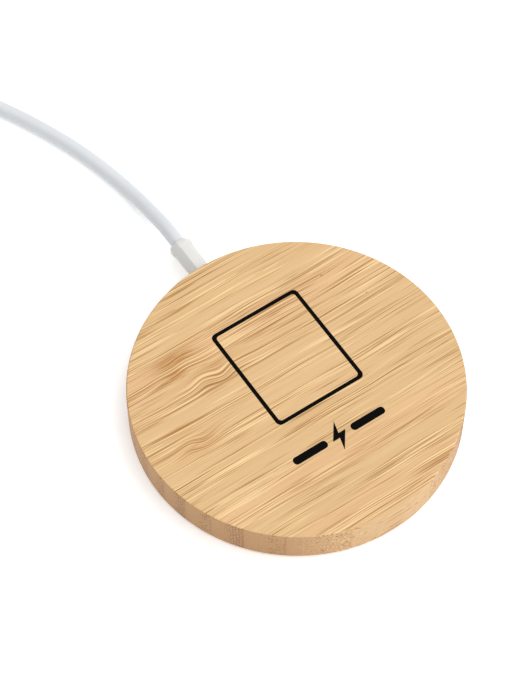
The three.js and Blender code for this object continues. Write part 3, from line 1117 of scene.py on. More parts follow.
    def _seams(self, sketch: Sketch, across: bpy.types.NodeSocket, number: bpy.types.NodeSocket,
               end: bpy.types.NodeSocket) -> bpy.types.NodeSocket:
        """The glue lines: hairlines between strips, darker where the fibres are cut across.

        Args:
            sketch: The material being drawn.
            across: Share of the way across the strip.
            number: The strip's number.
            end: How far the face looks along the grain.

        Returns:
            The line's share of colour.
        """
        line = sketch.ramp(sketch.apart(across, 0.5), 0.482, 0.496, 0.0, 1.0)
        weight = sketch.ramp(sketch.hashed(sketch.plus(number, 9.0)), 0.3, 1.0, 0.05, 0.35)
        return sketch.times(line, sketch.plus(weight, sketch.times(end, 0.4)))


@dataclass(frozen=True)
class MouldedFinish:
    """Moulded plastic or rubber: an even colour with a fine skin, slight mottling and a painted
    highlight along the edges.
    """

    name: str
    colour: Colour
    roughness: float = 0.45
    grain: float = 6.0
    grain_depth: float = 0.01
    mottle: float = 0.06

    def make(self) -> bpy.types.Material:
        """Draws up the moulding.

        Returns:
            The material.
        """
        sketch = Sketch(self.name)
        cloud = sketch.noise(sketch.place((0.12, 0.12, 0.12)), 3, 0.5)
        skin = sketch.noise(sketch.place((self.grain, self.grain, self.grain)), 2, 0.6)
        darker = toned(self.colour, 1 - 2 * self.mottle)
        colour = sketch.mix(sketch.ramp(cloud, 0.3, 0.7), darker, self.colour)
        # painted highlight: a lighter copy of the moulding's colour along sharp edges
        edge_highlight = sketch.times(sketch.edges(0.3), 0.25)
        colour = sketch.mix(edge_highlight, colour, toned(self.colour, 1.12, 0.01))
        rough = sketch.ramp(skin, 0.25, 0.75, self.roughness - 0.06, self.roughness + 0.06)
        sketch.paint(colour, rough)
        sketch.bump(skin, self.grain_depth, 0.5)
        return sketch.material


@dataclass(frozen=True)
class MetalFinish:
    """Drawn or stamped metal: fine lines one way, and a painted highlight along the edges."""

    name: str
    colour: Colour
    roughness: float = 0.28
    lines: Point = (0.6, 9.0, 9.0)

    def make(self) -> bpy.types.Material:
        """Draws up the metal.

        Returns:
            The material.
        """
        sketch = Sketch(self.name)
        brushed = sketch.noise(sketch.place(self.lines), 3, 0.6)
        cloud = sketch.noise(sketch.place((0.4, 0.4, 0.4)), 2, 0.5)
        colour = sketch.mix(sketch.ramp(cloud, 0.3, 0.7), toned(self.colour, 0.78), self.colour)
        # painted highlight: a brighter copy of the metal's colour along sharp edges
        edge_highlight = sketch.times(sketch.edges(0.15), 0.5)
        colour = sketch.mix(edge_highlight, colour, toned(self.colour, 1.2))
        rough = sketch.ramp(brushed, 0.3, 0.7, self.roughness - 0.08, self.roughness + 0.12)
        sketch.paint(colour, rough)
        sketch.set(Metallic=1.0)
        sketch.bump(brushed, 0.004, 0.4)
        return sketch.material


@dataclass(frozen=True)
class StrandFinish:
    """Enamelled copper strands laid up in one bundle, wound round the pad's axis, with painted
    shade between the strands.
    """

    name: str = "litz_wire"
    copper: Colour = srgb(196, 118, 66)
    groove: Colour = srgb(104, 54, 28)
    strands: float = 22.0

    def make(self) -> bpy.types.Material:
        """Draws up the strands.

        Returns:
            The material.
        """
        sketch = Sketch(self.name)
        x, y, z = sketch.split(sketch.place())
        radius = sketch.math("SQRT", sketch.plus(sketch.times(x, x), sketch.times(y, y)))
        turn = sketch.times(sketch.math("ARCTAN2", y, x), self.strands)
        lay = sketch.plus(sketch.times(radius, 9.0), turn)
        lay = sketch.plus(lay, sketch.times(z, 6.0))
        strand = sketch.ramp(sketch.math("SINE", lay), -1.0, 1.0)
        # painted shade: the grooves between strands take a dark copper colour
        colour = sketch.mix(sketch.ramp(strand, 0.1, 0.6), self.groove, self.copper)
        sketch.paint(colour, sketch.ramp(strand, 0.0, 1.0, 0.55, 0.32))
        sketch.set(Metallic=0.85)
        sketch.bump(strand, 0.06, 0.8)
        return sketch.material


@dataclass(frozen=True)
class SinteredFinish:
    """Fired or moulded filler: a speckled, fine-pored body."""

    name: str
    colour: Colour
    fleck: Colour
    roughness: float = 0.55
    size: float = 3.0

    def make(self) -> bpy.types.Material:
        """Draws up the body.

        Returns:
            The material.
        """
        sketch = Sketch(self.name)
        grit = sketch.cells(sketch.place((self.size, self.size, self.size)))
        cloud = sketch.noise(sketch.place((0.5, 0.5, 0.5)), 3, 0.5)
        share = sketch.ramp(grit["Distance"], 0.15, 0.5, 0.6, 0.0)
        colour = sketch.mix(share, self.colour, self.fleck)
        lighter = toned(self.colour, 1.25, 0.004)
        colour = sketch.mix(sketch.ramp(cloud, 0.4, 0.7, 0.0, 0.5), colour, lighter)
        rough = sketch.ramp(cloud, 0.3, 0.7, self.roughness - 0.08, self.roughness + 0.08)
        sketch.paint(colour, rough)
        sketch.bump(grit["Distance"], 0.01, 0.4)
        return sketch.material


@dataclass(frozen=True)
class BoardFinish:
    """Solder mask over a glass weave, with copper tracks showing through it."""

    name: str = "board_laminate"
    mask: Colour = srgb(24, 96, 52)
    track: Colour = srgb(44, 132, 70)
    track_pitch: float = 1.6

    def make(self) -> bpy.types.Material:
        """Draws up the board.

        Returns:
            The material.
        """
        sketch = Sketch(self.name)
        x, y, _ = sketch.split(sketch.place())
        field = sketch.cells(sketch.place((0.09, 0.09, 0.0)))
        way = sketch.ramp(sketch.split(field["Color"])[0], 0.49, 0.51)
        lines_x = sketch.math("FRACT", sketch.over(x, self.track_pitch))
        lines_y = sketch.math("FRACT", sketch.over(y, self.track_pitch))
        lines = sketch.plus(sketch.times(lines_x, way),
                            sketch.times(lines_y, sketch.minus(1.0, way)))
        track = sketch.minus(sketch.ramp(lines, 0.30, 0.34), sketch.ramp(lines, 0.60, 0.64))
        weave = sketch.noise(sketch.place((2.5, 2.5, 2.5)), 1, 0.4)
        colour = sketch.mix(track, self.mask, self.track)
        woven = sketch.ramp(weave, 0.45, 0.75, 0.0, 0.4)
        colour = sketch.mix(woven, colour, toned(self.mask, 0.7))
        sketch.paint(colour, sketch.ramp(weave, 0.3, 0.7, 0.28, 0.42))
        sketch.bump(track, 0.03, 0.5)
        return sketch.material


@dataclass(frozen=True)
class InkFinish:
    """Screen-printed ink that follows the wood's pores."""

    name: str = "print_black"
    colour: Colour = srgb(2, 2, 2)

    def make(self) -> bpy.types.Material:
        """Draws up the ink.

        Returns:
            The material.
        """
        sketch = Sketch(self.name)
        pores = sketch.noise(sketch.place((0.05, 3.2, 3.2)), 2, 0.6)
        lighter = toned(self.colour, 1.0, 0.002)
        colour = sketch.mix(sketch.ramp(pores, 0.5, 0.8), self.colour, lighter)
        sketch.paint(colour, sketch.ramp(pores, 0.3, 0.7, 0.5, 0.66))
        sketch.set(Specular_IOR_Level=0.05)
        sketch.bump(pores, 0.02, 0.4)
        return sketch.material


@dataclass(frozen=True)
class FoamFinish:
    """Closed-cell adhesive foam with small open pits, darkened inside as painted shade."""

    name: str = "adhesive_foam"
    colour: Colour = srgb(238, 232, 214)

    def make(self) -> bpy.types.Material:
        """Draws up the foam.

        Returns:
            The material.
        """
        sketch = Sketch(self.name)
        pits = sketch.cells(sketch.place((2.2, 2.2, 2.2)))["Distance"]
        # painted shade: the hollows of the pits are darkened
        colour = sketch.mix(sketch.ramp(pits, 0.1, 0.5), toned(self.colour, 0.72), self.colour)
        sketch.paint(colour, sketch.ramp(pits, 0.0, 0.6, 0.95, 0.8))
        sketch.bump(pits, 0.05, 0.6)
        return sketch.material


class Finish(Enum):
    """Every finish of the pad, by the name of its slot in the record."""

    BAMBOO = BambooFinish()
    INK = InkFinish()
    COVER = MouldedFinish("cover_plastic", srgb(226, 224, 219), 0.52, 4.0, 0.02, 0.012)
    FOOT = MouldedFinish("foot_rubber", srgb(58, 58, 60), 0.78, 5.0, 0.02, 0.1)
    MOULDING = MouldedFinish("white_moulding", srgb(210, 210, 207), 0.42, 5.0, 0.006, 0.012)
    JACKET = MouldedFinish("cable_jacket", srgb(210, 213, 216), 0.38, 5.0, 0.005, 0.012)
    STRAP = MouldedFinish("tie_strap", srgb(52, 52, 56), 0.85, 3.0, 0.06, 0.12)
    TONGUE = MouldedFinish("tongue_plastic", srgb(240, 240, 238), 0.4)
    CHIP = MouldedFinish("chip_epoxy", srgb(32, 32, 34), 0.5, 7.0, 0.012, 0.1)
    WIRE_RED = MouldedFinish("wire_red", srgb(196, 44, 36), 0.38)
    WIRE_WHITE = MouldedFinish("wire_white", srgb(240, 240, 240), 0.38)
    WIRE_GREEN = MouldedFinish("wire_green", srgb(44, 148, 76), 0.38)
    WIRE_BLACK = MouldedFinish("wire_black", srgb(30, 30, 30), 0.38)
    SCREW = MetalFinish("screw_steel", srgb(196, 198, 202), 0.3, (4.0, 4.0, 0.6))
    PLUG_SHELL = MetalFinish("plug_steel", srgb(170, 172, 176), 0.34, (9.0, 0.5, 9.0))
    CONTACT = MetalFinish("contact_gold", srgb(232, 190, 104), 0.24, (6.0, 0.5, 6.0))
    TIN = MetalFinish("screw_steel", srgb(206, 206, 204), 0.36, (3.0, 3.0, 3.0))
    LITZ = StrandFinish()
    FERRITE = SinteredFinish("ferrite", srgb(56, 56, 60), srgb(84, 84, 90), 0.5)
    CAPACITOR = SinteredFinish("capacitor_ceramic", srgb(178, 146, 104), srgb(150, 118, 80), 0.45)
    BOARD = BoardFinish()
    FOAM = FoamFinish()

    def material(self) -> bpy.types.Material:
        """Draws the finish up the first time it is asked for.

        Returns:
            The finish's material.
        """
        if self not in _drawn:
            _drawn[self] = self.value.make()
        return _drawn[self]

    def slot(self) -> str:
        """Returns the slot of the record that the finish belongs to."""
        return self.value.name


_drawn: dict[Finish, bpy.types.Material] = {}


def fit_out(piece: bpy.types.Object, finish: Finish, *stands_for: str) -> bpy.types.Object:
    """Dresses a new piece and ties it to the pad.

    Args:
        piece: The new piece.
        finish: Its finish.
        stands_for: CAD nodes that it replaces.

    Returns:
        The piece.
    """
    dress(piece, finish.material())
    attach(piece, "root")
    if stands_for:
        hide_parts(*stands_for)
    log.info("made %s, finish %s", piece.name, finish.slot())
    return piece


# ------------------------------------------------------------------ camera and studio


@dataclass
class Viewpoint:
    """The camera: where it looks, from which side, how far off, and how long its lens is."""

    target: Point = (0.00354, 0.02011, 0.0008)
    azimuth: float = -124.0
    elevation: float = 59.26
    distance: float = 0.6432
    lens: float = 123.55
    sensor: float = 36.0

    def build(self) -> bpy.types.Object:
        """Makes the camera the scene's own.

        Returns:
            The camera.
        """
        back = outwards(self.azimuth, self.elevation)
        data = bpy.data.cameras.new("camera")
        camera = bpy.data.objects.new("camera", data)
        bpy.context.scene.collection.objects.link(camera)
        data.sensor_width = self.sensor
        data.lens = self.lens
        data.clip_start, data.clip_end = 0.02, 20.0
        camera.location = Vector(self.target) + back * self.distance
        camera.rotation_mode = "QUATERNION"
        camera.rotation_quaternion = (-back).to_track_quat("-Z", "Y")
        bpy.context.scene.camera = camera
        return camera


@dataclass(frozen=True)
class Lamp:
    """A broad soft light: the way it comes from, how wide it seems and how strong it is."""

    name: str
    azimuth: float
    elevation: float
    spread: float
    strength: float

    def build(self) -> None:
        """Hangs the light and turns it to the pad."""
        way = outwards(self.azimuth, self.elevation)
        data = bpy.data.lights.new(self.name, "SUN")
        data.angle = math.radians(self.spread)
        data.energy = self.strength
        lamp = bpy.data.objects.new(self.name, data)
        bpy.context.scene.collection.objects.link(lamp)
        lamp.location = way
        lamp.rotation_euler = way.to_track_quat("Z", "Y").to_euler()


@dataclass
class Studio:
    """The pale floor and the soft light."""

    floor_size: float = 6.0
    floor_colour: Colour = (0.93, 0.93, 0.93)
    floor_glow: float = 0.28
    sky: Colour = (1.0, 1.0, 1.0)
    sky_strength: float = 0.45
    lamps: tuple[Lamp, ...] = (Lamp("key", -34.0, 66.0, 80.0, 2.6),)

    def build(self) -> None:
        """Lays the floor, lights the world and hangs the lamps."""
        deselect()
        bpy.ops.mesh.primitive_plane_add(size=self.floor_size, location=(0, 0, 0))
        floor = new_piece("studio_floor")
        sketch = Sketch("studio_floor")
        cloud = sketch.noise(sketch.place((0.004, 0.004, 0.004)), 2, 0.5)
        darker = toned(self.floor_colour, 0.99)
        sketch.paint(sketch.mix(cloud, darker, self.floor_colour), 0.9)
        sketch.set(Specular_IOR_Level=0.0, Emission_Color=(*self.sky, 1.0),
                   Emission_Strength=self.floor_glow)
        dress(floor, sketch.material)
        scene = bpy.context.scene
        scene.world = self._world()
        scene.view_settings.view_transform = "Standard"
        for lamp in self.lamps:
            lamp.build()

    def _world(self) -> bpy.types.World:
        """Lights the pad with a dim sky, and shows a white one behind it.

        Returns:
            The world.
        """
        world = bpy.data.worlds.new("studio")
        world.use_nodes = True
        tree = world.node_tree
        lit = tree.nodes["Background"]
        shown = tree.nodes.new("ShaderNodeBackground")
        for sky, strength in ((lit, self.sky_strength), (shown, 1.0)):
            sky.inputs["Color"].default_value = (*self.sky, 1.0)
            sky.inputs["Strength"].default_value = strength
        ray = tree.nodes.new("ShaderNodeLightPath")
        choice = tree.nodes.new("ShaderNodeMixShader")
        tree.links.new(ray.outputs["Is Camera Ray"], choice.inputs["Fac"])
        tree.links.new(lit.outputs["Background"], choice.inputs[1])
        tree.links.new(shown.outputs["Background"], choice.inputs[2])
        tree.links.new(choice.outputs["Shader"], tree.nodes["World Output"].inputs["Surface"])
        return world


# ------------------------------------------------------------------ cable


@dataclass
class Cable:
    """The free cable: out of the strain relief, across the table, into its coil, on to the plug."""

    diameter: float = 4.2 * MM
    length: float = 1.0
    leaves: Point = (0, 0.0573, 0.0063)
    route: tuple[Point, ...] = (
        (0, 55.2, 6.3),
        (0.1, 59.4, 6.2),
        (0.2, 63.4, 5.9),
        (0.2, 67.4, 5.3),
        (0, 72.4, 4.4),
        (-0.2, 77.3, 3.5),
        (-0.6, 82, 2.7),
        (-1.2, 86.5, 2.25),
        (-2, 90.5, 2.15),
        (-2.9, 94.4, 2.15),
        (-3.9, 98.2, 2.15),
        (-5, 101.9, 2.15),
        (-6.1, 105.4, 2.15),
        (-10, 115.4, 2.15),
        (-14.2, 124.6, 2.15),
        (-19.2, 133.6, 2.3),
        (-24.6, 142.1, 2.6),
        (-30.4, 150.2, 3.0),
    )
    tail: tuple[Point, ...] = (
        (-91.1, 128.0, 7.2),
        (-91.1, 119.8, 6.8),
        (-91.1, 116, 5.8),
        (-91.1, 112, 4.7),
        (-91.1, 108, 4.2),
        (-91.1, 104, 4.2),
    )
    coil_centre: tuple[float, float] = (-60.0, 137.0)
    outer_turn: float = 31.1
    inner_turn: float = 19.3
    first_angle: float = 41.0
    last_angle: float = 1980.0
    bottom_layer: float = 3.2
    top_layer: float = 7.4
    climb: float = 100.0
    points_a_turn: int = 18

    def coil(self) -> list[Point]:
        """Works out the turns: inwards on the table, up, and outwards on top.

        Returns:
            The turns' points in millimetres.
        """
        sweep = self.last_angle - self.first_angle
        count = round(sweep / 360 * self.points_a_turn)
        points = []
        for k in range(count + 1):
            share = k / count
            inwards = 1 - abs(2 * share - 1)
            radius = self.outer_turn + (self.inner_turn - self.outer_turn) * inwards
            rise = min(1.0, max(0.0, (share - 0.5) * sweep / self.climb + 0.5))
            rise = rise * rise * (3 - 2 * rise)
            height = self.bottom_layer + (self.top_layer - self.bottom_layer) * rise
            x, y = on_circle(radius, self.first_angle + sweep * share)
            points.append((self.coil_centre[0] + x, self.coil_centre[1] + y, height))
        return points

    def build(self) -> bpy.types.Object:
        """Lays the cable as one smooth line.

        Returns:
            The cable.
        """
        points = [*self.route, *self.coil(), *self.tail]
        cable = smooth_line("cable", points, self.diameter / 2, 6, 6)
        return fit_out(cable, Finish.JACKET, "cable_lead", "cable_coil", "cable_tail")


# ------------------------------------------------------------------ bamboo body and its print


@dataclass
class BambooBody:
    """The turned block: top skin, pocket and ledge underneath, a channel for the boot's neck."""

    rim_round: float = 0.45 * MM
    segments: int = 256
    seat_radius: float = 41 * MM
    ledge_height: float = 3.1 * MM
    pocket_radius: float = 33 * MM
    pocket_ceiling: float = 9.8 * MM
    inner_round: float = 0.25 * MM
    hole_ring: float = 37 * MM
    hole_radius: float = 1.4 * MM
    hole_top: float = 7.3 * MM
    channel_width: float = 5.8 * MM
    channel_height: float = 5.6 * MM
    channel_corner: float = 1.1 * MM
    channel_axis: float = 6.3 * MM
    channel_start: float = 29 * MM

    def build(self) -> bpy.types.Object:
        """Turns the block, drills it and cuts the channel.

        Returns:
            The body.
        """
        low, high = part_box("bamboo_body")
        radius, e, i = high.x, self.rim_round, self.inner_round
        body = turned(
            "bamboo_body_turned",
            (
                Corner(self.pocket_radius, self.pocket_ceiling),
                Corner(self.pocket_radius, self.ledge_height, i),
                Corner(self.seat_radius, self.ledge_height),
                Corner(self.seat_radius, low.z, i),
                Corner(radius, low.z, e),
                Corner(radius, high.z, e),
                Corner(radius * 0.5, high.z),
            ),
            self.segments,
        )
        side, half = self.channel_width / 2, self.channel_height / 2
        cut_away(body, block("channel", (-side, self.channel_start, self.channel_axis - half),
                             (side, radius + 2 * MM, self.channel_axis + half),
                             self.channel_corner))
        for x, y in four_places(self.hole_ring, 45):
            cut_away(body, peg("hole", self.hole_radius, low.z - MM, self.hole_top, x, y))
        clean(body)
        smooth(body)
        return fit_out(body, Finish.BAMBOO, "bamboo_body")


@dataclass
class PrintedMark:
    """A plain placement mark in black ink: a phone-shaped outline, and a bolt between two bars."""

    centre: tuple[float, float] = (2.7 * MM, 8.4 * MM)
    width: float = 27.5 * MM
    depth: float = 33 * MM
    corner: float = 1.5 * MM
    line: float = 1.12 * MM
    thickness: float = 0.03 * MM
    row: float = -19.0 * MM
    row_middle: float = 0.5 * MM
    bar_length: float = 10.5 * MM
    bar_width: float = 2.3 * MM
    bolt_height: float = 8.6 * MM
    bolt: tuple[tuple[float, float], ...] = (
        (0.14, 0.5),
        (-0.28, -0.08),
        (-0.03, -0.08),
        (-0.14, -0.5),
        (0.28, 0.08),
        (0.03, 0.08),
    )

    def build(self) -> bpy.types.Object:
        """Prints the mark on the top face.

        Returns:
            The ink.
        """
        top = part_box("bamboo_body")[1].z
        x, y = self.centre
        frame = self._sheet(x, y, self.width, self.depth, self.corner, top, 0)
        inner = self._sheet(x, y, self.width - 2 * self.line, self.depth - 2 * self.line,
                            self.corner - self.line * 0.5, top, MM)
        cut_away(frame, inner)
        reach = self.bolt_height * 0.45 + self.bar_length / 2
        parts = [frame, self._bolt(self.row_middle, self.row, top)]
        for bar_x in (self.row_middle - reach, self.row_middle + reach):
            parts.append(self._sheet(bar_x, self.row, self.bar_length, self.bar_width,
                                     self.bar_width * 0.45, top, 0))
        mark = gather(parts, "printed_mark")
        clean(mark)
        return fit_out(mark, Finish.INK)

    def _sheet(self, x: float, y: float, width: float, depth: float, corner: float, top: float,
               spare: float) -> bpy.types.Object:
        """Makes a thin rounded rectangle of ink on the top face.

        Args:
            x: Its middle along X.
            y: Its middle along Y.
            width: Size along X.
            depth: Size along Y.
            corner: Radius of its corners.
            top: Height of the face it lies on.
            spare: Extra height both ways, for a cutting tool.

        Returns:
            The sheet.
        """
        deselect()
        bpy.ops.mesh.primitive_plane_add(size=1, location=(x, y, top - spare))
        sheet = new_piece("ink_sheet")
        edit_all()
        scale_about((x, y, top), (width, depth, 1))
        bpy.ops.mesh.bevel(offset=corner, segments=8, affect="VERTICES", clamp_overlap=True)
        bpy.ops.mesh.select_all(action="SELECT")
        return self._raise(sheet, self.thickness + 2 * spare)

    def _raise(self, sheet: bpy.types.Object, height: float) -> bpy.types.Object:
        """Gives a flat sheet, selected in edit mode, its thickness.

        Args:
            sheet: The sheet.
            height: Its thickness.

        Returns:
            The sheet.
        """
        extrude_along((0, 0, height))
        done()
        clean(sheet, FINE)
        return sheet

    def _bolt(self, x: float, y: float, top: float) -> bpy.types.Object:
        """Makes the bolt, from a hexagon whose corners are drawn to their places.

        Args:
            x: Its middle along X.
            y: Its middle along Y.
            top: Height of the face it lies on.

        Returns:
            The bolt.
        """
        deselect()
        bpy.ops.mesh.primitive_circle_add(vertices=len(self.bolt), radius=MM, fill_type="NGON",
                                          location=(x, y, top))
        piece = new_piece("ink_bolt")
        for corner, (share_x, share_y) in zip(piece.data.vertices, self.bolt):
            corner.co.x = x + share_x * self.bolt_height
            corner.co.y = y + share_y * self.bolt_height
        only(piece)
        edit_all()
        return self._raise(piece, self.thickness)


# ------------------------------------------------------------------ underside


@dataclass(frozen=True)
class Screw:
    """A small pan-head screw with a cross recess, head down.

    Its crown is a profile: each corner's share of the head's radius, and its rise and round in
    millimetres. The recess is given as shares of the radius, the thread's root as one of the shank.
    """

    head: float
    head_height: float
    shank: float
    length: float
    pitch: float = 0.8 * MM
    recess: float = 0.5 * MM
    recess_long: float = 0.56
    recess_wide: float = 0.15
    crown: tuple[Point, ...] = ((0.4, 0, 0), (0.86, 0.06, 0.2), (1.0, 0.4, 0.2))
    head_ease: float = 0.08 * MM
    thread_root: float = 0.8
    segments: int = 28

    def build(self, name: str, x: float, y: float, face: float) -> bpy.types.Object:
        """Turns one screw.

        Args:
            name: The screw's name.
            x: Its axis along X.
            y: Its axis along Y.
            face: Height of the head's face.

        Returns:
            The screw.
        """
        head, shank = self.head / 2, self.shank / 2
        corners = [Corner(head * share, face + rise * MM, ease * MM)
                   for share, rise, ease in self.crown]
        corners += [Corner(head, face + self.head_height, self.head_ease),
                    Corner(shank, face + self.head_height)]
        height = face + self.head_height + self.pitch
        tip = face + self.length
        while height + self.pitch < tip:
            corners.append(Corner(shank * self.thread_root, height))
            corners.append(Corner(shank, height + self.pitch * 0.35))
            height += self.pitch * 0.7
        corners += [Corner(shank * 0.7, tip - 0.5 * MM), Corner(shank * 0.12, tip)]
        screw = turned(name, corners, self.segments, x, y, 3)
        long, wide = head * self.recess_long, head * self.recess_wide
        for across, along in ((long, wide), (wide, long)):
            cut_away(screw, block("slot", (x - across, y - along, face - MM),
                                  (x + across, y + along, face + self.recess)))
        clean(screw)
        smooth(screw, 40)
        return screw


@dataclass
class Underside:
    """The moulded cover in its seat, its four screws and four rubber feet."""

    bottom: float = 1.0 * MM
    top: float = 2.8 * MM
    edge: float = 0.35 * MM
    standoff: float = 2.6 * MM
    standoff_top: float = 5.1 * MM
    foot_ring: float = 32 * MM
    foot_radius: float = 5 * MM
    foot_seat: float = 0.7 * MM
    screw_ring: float = 37 * MM
    gap: float = 0.3 * MM
    pilot: float = 1.3 * MM
    pilot_low: float = 2.0 * MM
    screw: Screw = Screw(4.2 * MM, 1.0 * MM, 2.2 * MM, 6.0 * MM)

    def build(self) -> list[bpy.types.Object]:
        """Makes the cover, the screws and the feet.

        Returns:
            The pieces.
        """
        return [self.cover(), *self.screws(), *self.feet()]

    def cover(self) -> bpy.types.Object:
        """Moulds the cover: standoffs for the board, seats for feet and screws.

        Returns:
            The cover.
        """
        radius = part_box("base_cover")[1].x
        below, above = self.bottom - MM, self.top + MM
        cover = turned(
            "base_cover_moulded",
            (
                Corner(radius * 0.6, self.bottom),
                Corner(radius, self.bottom, self.edge),
                Corner(radius, self.top, self.edge),
                Corner(radius * 0.6, self.top),
            ),
            192,
        )
        posts = [middle(f"board_screw_{k}") for k in range(1, 5)]
        for post in posts:
            add_on(cover, peg("post", self.standoff, self.top - 0.5 * MM, self.standoff_top,
                              post.x, post.y))
        for x, y in four_places(self.foot_ring, 0):
            seat = self.bottom + self.foot_seat
            cut_away(cover, peg("seat", self.foot_radius + self.gap, below, seat, x, y, 64))
        for x, y in four_places(self.screw_ring, 45):
            hole, head = self.screw.shank / 2 + self.gap, self.screw.head / 2 + self.gap
            sink = self.bottom + self.screw.head_height + self.gap
            cut_away(cover, peg("hole", hole, below, above, x, y))
            cut_away(cover, peg("sink", head, below, sink, x, y, 40))
        for post in posts:
            cut_away(cover, peg("pilot", self.pilot, self.pilot_low, self.standoff_top + MM,
                                post.x, post.y))
        clean(cover)
        smooth(cover)
        return fit_out(cover, Finish.COVER, "base_cover")

    def screws(self) -> list[bpy.types.Object]:
        """Makes the four cover screws, each a turned copy of the first.

        Returns:
            The screws.
        """
        first = self.screw.build("screw_pattern", 0, 0, self.bottom)
        made = []
        for k, (x, y) in enumerate(four_places(self.screw_ring, 45), 1):
            copy = twin(first, f"cover_screw_turned_{k}", (x, y, 0), 23 * k)
            made.append(fit_out(copy, Finish.SCREW, f"cover_screw_{k}"))
        bpy.data.objects.remove(first, do_unlink=True)
        return made

    def feet(self) -> list[bpy.types.Object]:
        """Moulds the four feet: a domed underside and a flat back.

        Returns:
            The feet.
        """
        r, back = self.foot_radius, self.bottom + self.foot_seat - self.gap
        first = turned(
            "foot_pattern",
            (
                Corner(r * 0.72, 0),
                Corner(r * 0.9, 0.1 * MM, 0.3 * MM),
                Corner(r, 0.6 * MM, 0.4 * MM),
                Corner(r, back, 0.1 * MM),
                Corner(r * 0.8, back),
            ),
            64,
        )
        smooth(first)
        made = []
        for k, (x, y) in enumerate(four_places(self.foot_ring, 0), 1):
            copy = twin(first, f"rubber_foot_domed_{k}", (x, y, 0))
            made.append(fit_out(copy, Finish.FOOT, f"rubber_foot_{k}"))
        bpy.data.objects.remove(first, do_unlink=True)
        return made


# ------------------------------------------------------------------ coil and board inside


@dataclass(frozen=True)
class WoundCoil:
    """The transmitter coil: a flat spiral of Litz wire."""

    start: float = 11.0
    end: float = 21.1
    height: float = 8.3
    wire: float = 0.5
    turns: int = 8
    points_a_turn: int = 24

    def build(self) -> bpy.types.Object:
        """Winds the coil.

        Returns:
            The coil.
        """
        count = self.turns * self.points_a_turn
        points = []
        for k in range(count + 1):
            radius = self.start + (self.end - self.start) * k / count
            points.append((*on_circle(radius, 360 * k / self.points_a_turn), self.height))
        coil = smooth_line("transmitter_spiral", points, self.wire * MM, 3, 2)
        only(coil)
        bpy.ops.object.convert(target="MESH")
        coil = bpy.context.object
        clean(coil, FINE)
        smooth(coil, 50)
        return fit_out(coil, Finish.LITZ, "transmitter_coil")


class Package(Enum):
    """How a part on the board is cased."""

    FLAT_CHIP = "flat chip with pads on all four sides"
    GULL_CHIP = "chip with pads on two sides"
    END_CAPPED = "ceramic block with plated ends"
    SHIELDED_COIL = "chamfered magnetic block with two pads"


